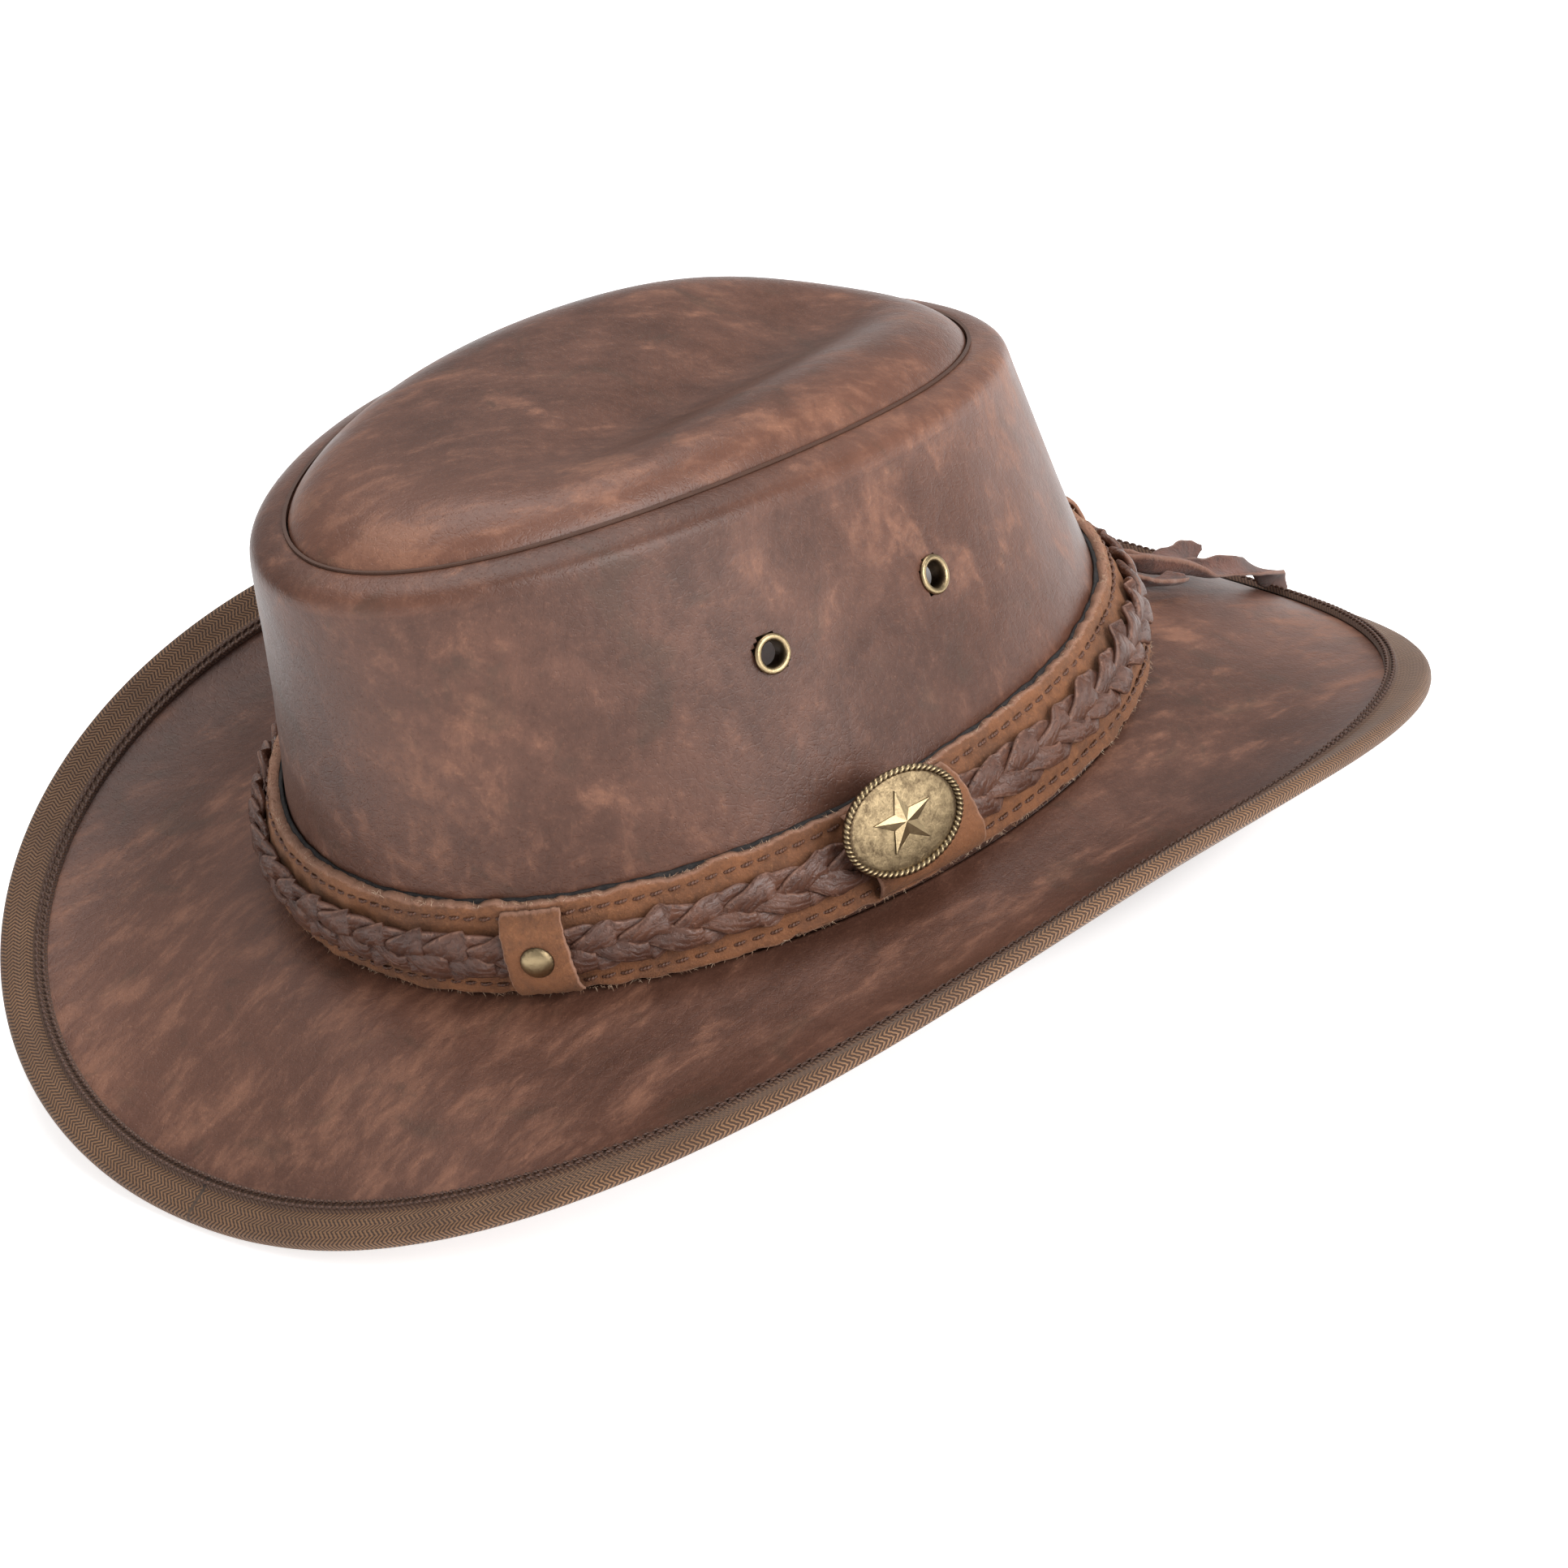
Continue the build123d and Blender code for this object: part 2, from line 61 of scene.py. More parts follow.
# ---------------------------------------------------------------- settings


def length(name, description, default):
    """A length property, given in millimetres."""
    return FloatProperty(name=name, description=description, default=default * MM, unit="LENGTH", precision=4)


def colour(name, description, default):
    return FloatVectorProperty(
        name=name, description=description, default=default, size=3, subtype="COLOR", min=0, max=1
    )


def angle(name, description, default):
    return FloatProperty(name=name, description=description, default=radians(default), unit="ROTATION")


class HatSizes(PropertyGroup):
    """Sizes of the crown and the brim, the same as the frame's."""

    crown_base: length("Crown base", "Height of the crown's base above the table", 36.03)
    base_length: length("Base half length", "Half the crown's length at its base", 101.9)
    base_width: length("Base half width", "Half the crown's width at its base", 84.4)
    crown_shift: length("Crown shift", "How far the crown sits in front of the middle", 1.9)
    seam_length: length("Tip half length", "Half the length of the oval top panel", 92.8)
    seam_width: length("Tip half width", "Half the width of the oval top panel", 48.2)
    seam_shift: length("Tip shift", "How far the top panel leans to the front", 10.2)
    seam_height: length("Tip height", "Mean height of the tip seam above the base", 85.0)
    lip_width: length("Lip width", "Width of the rolled lip round the top", 9.2)
    lip_height: length("Lip height", "Height of the rolled lip", 5.2)
    leather: length("Crown leather", "Thickness of the crown leather", 2.0)
    edge_length: length("Brim half length", "Half the brim's length to the cut edge", 167.1)
    edge_width: length("Brim half width", "Half the brim's width to the cut edge", 133.0)
    edge_shift: length("Brim shift", "How far the brim reaches to the front of the crown's middle line", 1.45)
    brim_leather: length("Brim leather", "Thickness of the brim leather", 2.2)
    side_dip: length("Side dip", "How far the brim dips before it curls up at the sides", 25.0)
    tape_width: length("Binding width", "Width of the edge tape on each face of the brim", 7.4)
    tape: length("Binding thickness", "Thickness of the edge tape", 0.7)


class BandSizes(PropertyGroup):
    """Sizes of the hat band and its fittings."""

    foot: length("Foot", "Height of the band's lower edge above the base", 0.8)
    height: length("Strap height", "Height of the tan strap", 20.6)
    backing_start: length("Backing gap", "Gap between the crown and the backing", 1.5)
    backing: length("Backing thickness", "Thickness of the black backing", 1.2)
    strap: length("Strap thickness", "Thickness of the tan strap", 2.4)
    stitch_margin: length("Stitch margin", "From the strap's edge to the stitching", 2.6)
    strand_width: length("Strand width", "Width of one braid strand", 5.0)
    strand_thickness: length("Strand thickness", "Thickness of one braid strand", 2.2)
    braid_swing: length("Braid swing", "Width of the path that a strand's middle follows", 6.0)
    strand_turns: IntProperty(
        name="Braid turns", description="Times that a strand crosses and returns", default=16
    )
    braid_end: angle("Braid end", "Angle from the front at which the braid ends", 160)
    keeper_angle: angle("Keeper angle", "Angle of the front keeper from the front", 28.2)
    badge_angle: angle("Badge angle", "Angle of the badge from the front", 75)
    badge_height: length("Badge height", "Height of the badge's middle above the base", 16.0)
    badge_long: length("Badge length", "Long axis of the badge", 31.0)
    badge_short: length("Badge width", "Short axis of the badge", 23.0)


class HatColours(PropertyGroup):
    """Base colours of the hat's materials."""

    leather_dark: colour("Dark leather", "Darkest tone of the waxed leather", (0.066, 0.027, 0.017))
    leather_mid: colour("Leather", "Middle tone of the waxed leather", (0.125, 0.055, 0.036))
    leather_rust: colour("Rubbed leather", "Rust tone where the wax is rubbed away", (0.25, 0.115, 0.070))
    strap_tan: colour("Strap", "Tan split leather of the band", (0.245, 0.092, 0.034))
    strap_dark: colour("Strap shade", "Dark patches of the split leather", (0.145, 0.055, 0.023))
    braid: colour("Braid", "Dark braid leather", (0.075, 0.031, 0.020))
    cut_edge: colour("Cut edge", "Raw cut edge of the leather laces", (0.42, 0.23, 0.16))
    tape: colour("Edge tape", "Light yarn of the woven edge tape", (0.235, 0.115, 0.048))
    tape_dark: colour("Edge tape shade", "Dark yarn of the woven edge tape", (0.055, 0.024, 0.011))
    thread: colour("Thread", "Waxed stitching thread", (0.035, 0.015, 0.009))
    brass: colour("Brass", "Rubbed antique brass", (0.37, 0.28, 0.16))
    patina: colour("Patina", "Dark hollows of the brass", (0.085, 0.058, 0.034))
    suede: colour("Suede", "Tail suede", (0.15, 0.055, 0.034))


class StageSettings(PropertyGroup):
    """Camera and light."""

    azimuth: angle("Azimuth", "Camera direction round the hat from its front", 46.52)
    elevation: angle("Elevation", "Camera height above the horizon", 27.57)
    roll: angle("Roll", "Camera roll", -7.8)
    distance: FloatProperty(name="Distance", description="Camera distance", default=1.8393, unit="LENGTH")
    lens: FloatProperty(name="Lens", description="Focal length in millimetres", default=192.5)
    right: length("Aim right", "Aim point to the right of the crown's middle", 14.29)
    up: length("Aim up", "Aim point above the crown's middle", -49.74)


# ---------------------------------------------------------------- shape of the hat


def hat():
    return bpy.context.scene.hat_sizes


def band():
    return bpy.context.scene.hat_band


def colours():
    return bpy.context.scene.hat_colours


def oval(turn, long_way, wide_way, power):
    """Squared-off oval as x and y, its front at angle 0."""
    along, across = np.cos(turn), np.sin(turn)
    reach = (np.abs(along) ** power + np.abs(across) ** power) ** (-1 / power)
    return wide_way * across * reach, -long_way * along * reach


def base_line(turn):
    return (-2.4 * np.cos(2 * turn) - 2.6 * np.cos(turn)) * MM


def seam_line(turn):
    back = ((1 - np.cos(turn)) / 2) ** 4
    return hat().seam_height + (10.5 * np.cos(turn) - 4.0 * np.cos(2 * turn) + 2.2 * back) * MM


def edge_line(turn):
    skew = np.cos(3 * turn) - np.cos(turn)
    return (-11.4 - 21.05 * np.cos(2 * turn) - 1.1 * skew) * MM


def place(x, y, z):
    return np.stack(np.broadcast_arrays(x, y + hat().edge_shift, z + hat().crown_base), -1)


def wall(turn, level):
    """Outside of the crown wall; level is 0 at the base and 1 under the lip."""
    s = hat()
    long_way = s.base_length + (s.seam_length + s.lip_width - s.base_length) * level
    wide_way = s.base_width + (s.seam_width + s.lip_width - s.base_width) * level
    x, y = oval(turn, long_way, wide_way, 2.07 - 0.07 * level)
    z = base_line(turn) * (1 - level) + (seam_line(turn) - s.lip_height) * level
    return place(x, y - s.crown_shift - s.seam_shift * level, z)


def lip(turn, roll):
    """Outside of the rolled lip; roll is 0 at the wall and 1 at the seam."""
    s = hat()
    reach = s.lip_width * np.cos(roll * pi / 2) + 0.3 * MM
    x, y = oval(turn, s.seam_length + reach, s.seam_width + reach, 2.0)
    z = seam_line(turn) - s.lip_height * (1 - np.sin(roll * pi / 2))
    return place(x, y - s.crown_shift - s.seam_shift, z)


def brim(turn, reach):
    """Top of the brim leather; reach is 0 at the crown and 1 at the cut edge."""
    s = hat()
    side = np.sin(turn) ** 2
    gap = (0.4 + 1.9 * side) * MM
    x0, y0 = oval(turn, s.base_length + gap, s.base_width + gap, 2.07)
    x1, y1 = oval(turn, s.edge_length, s.edge_width, 2.317)
    y0, y1 = y0 - s.crown_shift, y1 - s.edge_shift
    start = base_line(turn)
    drop = edge_line(turn) - start
    fall = drop * (side * reach + (1 - side) * np.maximum(reach, 0) ** 1.5)
    dip = side * s.side_dip * reach * (1 - reach) * (1 + 0.4 * reach)
    return place(x0 + (x1 - x0) * reach, y0 + (y1 - y0) * reach, start + fall - dip)


def unit(vectors):
    return vectors / np.maximum(np.linalg.norm(vectors, axis=-1, keepdims=True), 1e-12)


def lifted(surface, turn, step, lift, small=0.004):
    """Points of a surface moved along its outward normal."""
    turn, step, lift = np.broadcast_arrays(turn, step, lift)
    round_way = surface(turn + small, step) - surface(turn - small, step)
    up_way = surface(turn, step + small) - surface(turn, step - small)
    normal = unit(np.cross(round_way, up_way))
    if surface is brim:
        normal = -normal
    return surface(turn, step) + normal * lift[..., None]


def on_wall(turn, height, lift):
    """Point at a height above the base and a distance off the crown leather."""
    full = seam_line(turn) - hat().lip_height - base_line(turn)
    return lifted(wall, turn, height / full, lift)


def on_brim(turn, distance, lift):
    """Point at a distance in from the brim's cut edge and a distance above its leather."""
    width = np.linalg.norm(brim(turn, 1.0) - brim(turn, 0.9), axis=-1) * 10
    return lifted(brim, turn, 1 - distance / width, lift)


def fold(turn, part, value, lift):
    """Point of the tape folded over the edge; value is a distance, or an angle on the bend."""
    middle = -hat().brim_leather / 2
    radius = 1.25 * MM + lift
    if part == "top":
        return on_brim(turn, value, middle + radius)
    if part == "under":
        return on_brim(turn, value, middle - radius)
    edge = on_brim(turn, 0.0, 0.0)
    up = unit(on_brim(turn, 0.0, MM) - edge)
    inward = on_brim(turn, MM, 0.0) - edge
    out = -unit(inward - up * np.sum(inward * up, -1, keepdims=True))
    bend = radians(value)
    return edge + out * (1.25 * MM + radius * sin(bend)) + up * (middle + radius * cos(bend))


def ripple(points, size, seed):
    """Smooth made-up unevenness from about -1 to 1, the same every time."""
    rng = np.random.RandomState(seed)
    total = 0
    for _ in range(7):
        direction = unit(rng.normal(size=3)) * tau / size * rng.uniform(0.6, 1.6)
        total = total + np.sin(points @ direction + rng.uniform(0, tau))
    return total / 3.5


def swell(points, size, amount, seed):
    """Points pushed about by a smooth unevenness in all three directions."""
    shift = np.stack([ripple(points, size, seed + k) for k in range(3)], -1)
    return points + shift * amount


def rough(count, seed, smooth=1):
    """Ragged closed line of values from about -1 to 1."""
    values = np.random.RandomState(seed).uniform(-1, 1, count)
    for _ in range(smooth):
        values = (np.roll(values, 1) + 2 * values + np.roll(values, -1)) / 4
    return values


# ---------------------------------------------------------------- mesh tools


def finish_mesh(name, points, faces, marks, material, body, replaced=()):
    """Smooth-shaded mesh object with its marks, riding on a body."""
    mesh = bpy.data.meshes.new(name)
    mesh.from_pydata(points.reshape(-1, 3).tolist(), [], faces)
    mesh.update()
    corners = [mesh.vertices[i].co for f in mesh.polygons[:1] for i in f.vertices]
    if corners and signed_volume(points.reshape(-1, 3), faces) < 0:
        mesh.flip_normals()
    mesh.polygons.foreach_set("use_smooth", [True] * len(mesh.polygons))
    for key, values in marks.items():
        layer = mesh.attributes.new(key, "FLOAT", "POINT")
        layer.data.foreach_set("value", np.ascontiguousarray(values, np.float32).ravel())
    mesh.materials.append(material)
    piece = bpy.data.objects.new(name, mesh)
    bpy.context.scene.collection.objects.link(piece)
    if body:
        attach(piece, body)
    if replaced:
        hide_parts(*replaced)
    return piece


def signed_volume(points, faces):
    total = 0.0
    sample = [f for f in faces if len(f) >= 3]
    a = points[[f[0] for f in sample]]
    b = points[[f[1] for f in sample]]
    c = points[[f[2] for f in sample]]
    total += np.sum(a * np.cross(b, c))
    four = [f for f in sample if len(f) == 4]
    if four:
        a, b, c = points[[f[0] for f in four]], points[[f[2] for f in four]], points[[f[3] for f in four]]
        total += np.sum(a * np.cross(b, c))
    return total


def grid_faces(rows, columns, round_way, across_way, start=0):
    i = np.arange(rows if round_way else rows - 1)
    j = np.arange(columns if across_way else columns - 1)
    i1, j1 = (i + 1) % rows, (j + 1) % columns
    corner = [
        i[:, None] * columns + j,
        i1[:, None] * columns + j,
        i1[:, None] * columns + j1,
        i[:, None] * columns + j1,
    ]
    return (np.stack(corner, -1).reshape(-1, 4) + start).tolist()


def ring(name, points, material, body, replaced=(), **marks):
    """Closed ring from a grid whose rows go round the hat and whose columns close on themselves."""
    faces = grid_faces(points.shape[0], points.shape[1], True, True)
    return finish_mesh(name, points, faces, marks, material, body, replaced)


def slab(name, front, back, material, body, replaced=(), **marks):
    """Closed plate between two grids laid out alike."""
    rows, columns = front.shape[:2]
    points = np.concatenate([front, back[:, ::-1]], 1)
    faces = grid_faces(rows, 2 * columns, False, True)
    for row in (0, rows - 1):
        first = row * 2 * columns
        for j in range(columns - 1):
            quad = [first + j, first + j + 1, first + 2 * columns - 2 - j, first + 2 * columns - 1 - j]
            faces.append(quad if row == 0 else quad[::-1])
    both = {key: np.concatenate([value, value[:, ::-1]], 1) for key, value in marks.items()}
    return finish_mesh(name, points, faces, both, material, body, replaced)


def rods(name, paths, ups, wide, thick, material, body, replaced=(), sides=8, flat=1.0, closed=False):
    """Rods of oval section along many paths at once; flat under 1 squares the section."""
    count, steps = paths.shape[:2]
    if closed:
        tangent = unit(np.roll(paths, -1, 1) - np.roll(paths, 1, 1))
    else:
        tangent = unit(np.gradient(paths, axis=1))
    side = unit(np.cross(tangent, ups))
    up = np.cross(side, tangent)
    section = np.arange(sides) * tau / sides
    across = np.sign(np.cos(section)) * np.abs(np.cos(section)) ** flat
    above = np.sign(np.sin(section)) * np.abs(np.sin(section)) ** flat
    wide = np.broadcast_to(wide, (count, steps))
    thick = np.broadcast_to(thick, (count, steps))
    points = (
        paths[:, :, None]
        + side[:, :, None] * (wide[..., None] * across)[..., None]
        + up[:, :, None] * (thick[..., None] * above)[..., None]
    )
    gaps = np.linalg.norm(np.diff(paths, axis=1), axis=-1)
    along = np.concatenate([np.zeros((count, 1)), np.cumsum(gaps, 1)], 1) / MM
    faces = []
    for k in range(count):
        start = k * steps * sides
        faces += grid_faces(steps, sides, closed, True, start)
        if not closed:
            faces.append(list(range(start, start + sides))[::-1])
            faces.append(list(range(start + (steps - 1) * sides, start + steps * sides)))
    marks = {
        "along": np.broadcast_to(along[..., None], points.shape[:3]),
        "across": np.broadcast_to(across, points.shape[:3]),
        "above": np.broadcast_to(above, points.shape[:3]),
    }
    return finish_mesh(name, points, faces, marks, material, body, replaced)


def turned(name, frames, profile, material, body, replaced=(), sides=40, **marks):
    """Turned parts: a profile of radius and height spun round each frame's z."""
    spin = np.arange(sides) * tau / sides
    profile = np.array(profile)
    local = np.stack(
        [np.outer(np.cos(spin), profile[:, 0]), np.outer(np.sin(spin), profile[:, 0]),
         np.broadcast_to(profile[:, 1], (sides, len(profile)))], -1
    )
    points, faces = [], []
    for k, place_at in enumerate(frames):
        turn = np.array(place_at.to_3x3())
        points.append(local @ turn.T + np.array(place_at.translation))
        faces += grid_faces(sides, len(profile), True, True, k * sides * len(profile))
    many = {key: np.tile(np.array(value), (len(frames) * sides, 1)) for key, value in marks.items()}
    return finish_mesh(name, np.array(points), faces, many, material, body, replaced)


def wall_frame(turn, height, lift):
    """Matrix standing on the crown: x along the band, y up, z out of the leather."""
    here = on_wall(turn, height, lift)
    out = unit(on_wall(turn, height, lift + MM) - here)
    along = on_wall(turn + 0.01, height, lift) - on_wall(turn - 0.01, height, lift)
    along = unit(along - out * np.dot(along, out))
    up = np.cross(out, along)
    turned_axes = np.eye(4)
    turned_axes[:3, 0], turned_axes[:3, 1], turned_axes[:3, 2], turned_axes[:3, 3] = along, up, out, here
    return Matrix(turned_axes.tolist())


# ---------------------------------------------------------------- material tools


class Field:
    """A socket that can be used in arithmetic."""

    def __init__(self, maker, socket):
        self.maker = maker
        self.socket = socket

    def math(self, operation, first, second):
        return self.maker.node("ShaderNodeMath", {"operation": operation}, {0: first, 1: second})

    def __add__(self, other):
        return self.math("ADD", self, other)

    def __radd__(self, other):
        return self.math("ADD", other, self)

    def __sub__(self, other):
        return self.math("SUBTRACT", self, other)

    def __rsub__(self, other):
        return self.math("SUBTRACT", other, self)

    def __mul__(self, other):
        return self.math("MULTIPLY", self, other)

    def __rmul__(self, other):
        return self.math("MULTIPLY", other, self)

    def __truediv__(self, other):
        return self.math("DIVIDE", self, other)

    def __pow__(self, other):
        return self.math("POWER", self, other)

    def __abs__(self):
        return self.math("ABSOLUTE", self, 0.0)

    def sine(self):
        return self.math("SINE", self, 0.0)

    def fraction(self):
        return self.math("FRACT", self, 0.0)

    def step(self, low, high):
        """0 below low and 1 above high, with a smooth rise between."""
        settings = {"interpolation_type": "SMOOTHSTEP"}
        values = {"Value": self, "From Min": low, "From Max": high}
        return self.maker.node("ShaderNodeMapRange", settings, values)


class Finish:
    """One material and its nodes."""

    def __init__(self, name, metallic=0.0, **constants):
        self.material = bpy.data.materials.new(name)
        self.material.use_nodes = True
        self.tree = self.material.node_tree
        self.tree.nodes.clear()
        self.shader = self.tree.nodes.new("ShaderNodeBsdfPrincipled")
        output = self.tree.nodes.new("ShaderNodeOutputMaterial")
        self.tree.links.new(self.shader.outputs[0], output.inputs[0])
        self.shader.inputs["Metallic"].default_value = metallic
        for socket, value in constants.items():
            self.shader.inputs[socket.replace("_", " ")].default_value = value

    def node(self, kind, settings, values, output=0):
        made = self.tree.nodes.new(kind)
        for key, value in settings.items():
            setattr(made, key, value)
        for key, value in values.items():
            self.put(made.inputs[key], value)
        return Field(self, made.outputs[output])

    def put(self, socket, value):
        if isinstance(value, Field):
            self.tree.links.new(value.socket, socket)
        elif socket.type == "RGBA":
            socket.default_value = (*value[:3], 1)
        else:
            socket.default_value = value

    def mark(self, name):
        """A value stored on the mesh."""
        return self.node("ShaderNodeAttribute", {"attribute_name": name}, {}, "Fac")

    def place(self, stretch=None):
        """Position on the piece, in metres."""
        where = self.node("ShaderNodeTexCoord", {}, {}, "Object")
        if stretch is None:
            return where
        longer, turn = stretch
        values = {"Vector": where, "Rotation": (0, 0, turn), "Scale": longer}
        return self.node("ShaderNodeMapping", {"vector_type": "TEXTURE"}, values)

    def noise(self, size, detail=4.0, roughness=0.5, distortion=0.0, stretch=None):
        """Noise with features of about that size in millimetres."""
        values = {"Vector": self.place(stretch), "Scale": 1000 / size, "Detail": detail}
        values.update({"Roughness": roughness, "Distortion": distortion})
        return self.node("ShaderNodeTexNoise", {}, values)

    def cells(self, size, feature="F1"):
        values = {"Vector": self.place(), "Scale": 1000 / size}
        return self.node("ShaderNodeTexVoronoi", {"feature": feature}, values)

    def mix(self, share, first, second):
        values = {"Factor": share, "A": first, "B": second}
        made = self.tree.nodes.new("ShaderNodeMix")
        made.data_type = "RGBA"
        self.put(made.inputs[0], values["Factor"])
        self.put(made.inputs[6], values["A"])
        self.put(made.inputs[7], values["B"])
        return Field(self, made.outputs[2])

    def paint(self, **sockets):
        for name, value in sockets.items():
            self.put(self.shader.inputs[name.replace("_", " ")], value)

    def bump(self, height, depth, strength=1.0):
        """Relief of a depth in millimetres, over what is there already."""
        values = {"Height": height, "Distance": depth * MM, "Strength": strength}
        self.put(self.shader.inputs["Normal"], self.node("ShaderNodeBump", {}, values))


def waxed_leather(name, wear_level, gloss, streaks):
    """Mottled waxed leather, with soft rust clouds where the wear mark is high."""
    c = colours()
    f = Finish(name, Specular_IOR_Level=0.34)
    cloud = f.noise(42, 5, 0.62, 0.8)
    patch = f.noise(15, 6, 0.64, 0.5, stretch=streaks)
    small = f.noise(5.5, 5, 0.66, 0.4, stretch=streaks)
    fine = f.noise(1.5, 5, 0.7)
    speck = f.noise(0.6, 3, 0.65)
    mottle = cloud * 0.45 + patch * 0.35 + small * 0.2
    base = f.mix((mottle + (fine - 0.5) * 0.12).step(0.38, 0.62), c.leather_dark, c.leather_mid)
    base = f.mix(f.mark("wear").step(0.0, 1.1) * 0.55, base, (0.175, 0.076, 0.049))
    rubbing = patch * 0.48 + small * 0.34 + cloud * 0.18 + f.mark("wear") * 0.06 + wear_level
    rubbed = rubbing.step(0.51, 0.66)
    base = f.mix(rubbed * (0.35 + small * 0.6), base, c.leather_rust)
    flecks = (speck * 0.5 + fine * 0.5).step(0.52, 0.66)
    base = f.mix(flecks * (0.10 + rubbed * 0.30), base, (0.38, 0.18, 0.105))
    stains = (f.noise(24, 4, 0.6, 1.2) + (small - 0.5) * 0.3).step(0.56, 0.70)
    base = f.mix(stains * 0.42, base, (0.055, 0.032, 0.021))
    dots = (speck + fine * 0.3).step(0.40, 0.52)
    base = f.mix((1 - dots) * 0.22, base, c.leather_dark)
    pores = f.cells(0.8).step(0.0, 0.35)
    crease = f.cells(2.6, "DISTANCE_TO_EDGE").step(0.0, 0.10)
    f.paint(Base_Color=base, Roughness=gloss + (patch - 0.5) * 0.25 + (1 - dots) * 0.08 + rubbed * 0.06)
    f.bump(crease * 0.10 + pores * 0.25 + fine * 0.5 + small * 0.7, 0.22)
    return f.material


def sweat_leather():
    f = Finish("Sweatband_Leather", Roughness=0.6)
    tone = f.noise(9, 5, 0.6).step(0.35, 0.65)
    f.paint(Base_Color=f.mix(tone, (0.16, 0.075, 0.04), (0.25, 0.125, 0.07)))
    f.bump(f.cells(1.1).step(0, 0.4) * 0.5 + f.noise(2.0, 4), 0.15)
    return f.material


def split_leather(name):
    """Napped tan split leather of the strap and keepers."""
    c = colours()
    f = Finish(name, Sheen_Weight=0.15, Sheen_Roughness=0.5)
    f.shader.inputs["Sheen Tint"].default_value = (0.9, 0.6, 0.4, 1)
    patch = f.noise(13, 5, 0.65, 0.4)
    nap = f.noise(1.3, 6, 0.75, 0.5)
    fibre = f.noise(0.6, 3, 0.7)
    base = f.mix((patch * 0.6 + nap * 0.4).step(0.36, 0.62), c.strap_dark, c.strap_tan)
    base = f.mix((nap * 0.6 + fibre * 0.4).step(0.52, 0.70) * 0.40, base, (0.38, 0.19, 0.09))
    base = f.mix((fibre * 0.5 + patch * 0.5).step(0.50, 0.36) * 0.35, base, (0.09, 0.038, 0.018))
    torn = (f.mark("edge") + (nap - 0.5) * 0.9).step(0.45, 1.0)
    base = f.mix(torn * 0.6, base, c.cut_edge)
    f.paint(Base_Color=base, Roughness=0.80 - patch * 0.12)
    f.bump(nap * 0.9 + fibre * 0.5 + patch, 0.45)
    return f.material


def lace_leather():
    """Dark, glossy braid laces with wrinkles along them, painted shade in their creases, and worn edges."""
    c = colours()
    f = Finish("Braid_Leather", Specular_IOR_Level=0.55)
    across, along = f.mark("across"), f.mark("along")
    wrinkle = f.noise(2.4, 5, 0.65, 0.8)
    fine = f.noise(0.8, 4, 0.7)
    patch = f.noise(10, 4, 0.6)
    crease = ((across * 1.6 + wrinkle * 2.2 + along * 0.05) * tau).sine() * 0.5 + 0.5
    base = f.mix((wrinkle * 0.4 + patch * 0.6).step(0.36, 0.66), c.braid, (0.145, 0.062, 0.038))
    # Painted shade: the grooves of the crease pattern are darkened towards near black
    base = f.mix((crease * 0.6 + fine * 0.4).step(0.30, 0.12) * 0.5, base, (0.035, 0.014, 0.009))
    worn = (abs(across) + (wrinkle - 0.5) * 0.5 + (fine - 0.5) * 0.4).step(0.84, 1.02)
    worn = worn * f.mark("above").step(-0.1, 0.4)
    base = f.mix(worn * 0.34, base, c.cut_edge)
    scuff = (fine * 0.5 + wrinkle * 0.5).step(0.56, 0.68) * patch.step(0.42, 0.60)
    base = f.mix(scuff * 0.22, base, (0.34, 0.19, 0.13))
    f.paint(Base_Color=base, Roughness=0.27 + wrinkle * 0.24 + worn * 0.2)
    f.bump(crease * 0.3 + wrinkle * 0.8 + fine * 0.2, 0.45)
    return f.material


def suede():
    c = colours()
    f = Finish("Tail_Suede", Sheen_Weight=0.2)
    nap = f.noise(0.9, 6, 0.75)
    patch = f.noise(6, 4, 0.6)
    base = f.mix((nap * 0.5 + patch * 0.5).step(0.38, 0.62), (0.060, 0.022, 0.014), c.suede)
    edge = (f.mark("edge") + (nap - 0.5) * 0.5).step(0.65, 1.0)
    base = f.mix(edge * 0.55, base, (0.36, 0.19, 0.13))
    f.paint(Base_Color=base, Roughness=0.8 + nap * 0.15)
    f.bump(nap + patch, 0.5)
    return f.material


def woven_tape():
    """Herringbone edge tape: rows of slanted yarn that change direction."""
    c = colours()
    f = Finish("Edge_Tape", Sheen_Weight=0.1)
    along, across = f.mark("along"), f.mark("across")
    zigzag = abs((across / 3.0).fraction() * 2 - 1)
    slant = ((along + zigzag * 1.6) / 1.15 * tau).sine() * 0.5 + 0.5
    weft = ((across / 0.75) * tau).sine() * 0.5 + 0.5
    soft = f.noise(0.7, 3)
    yarn = (slant * 0.75 + weft * 0.25 + (soft - 0.5) * 0.4).step(0.34, 0.66)
    patch = f.noise(18, 4, 0.6)
    light = f.mix(patch.step(0.35, 0.65), c.tape, (0.185, 0.088, 0.036))
    base = f.mix(yarn, c.tape_dark, light)
    base = f.mix(f.mark("ridge") * 0.68, base, (0.072, 0.031, 0.018))
    f.paint(Base_Color=base, Roughness=0.66 + (1 - yarn) * 0.2)
    f.bump(yarn, 0.42)
    return f.material


def thread(name, dark, light):
    f = Finish(name, Roughness=0.5)
    twist = ((f.mark("along") * 4.0 + f.mark("above") * 1.5) * tau / 3).sine() * 0.5 + 0.5
    f.paint(Base_Color=f.mix(twist * 0.6 + f.noise(4, 2) * 0.4, dark, light))
    f.bump(twist, 0.12)
    return f.material


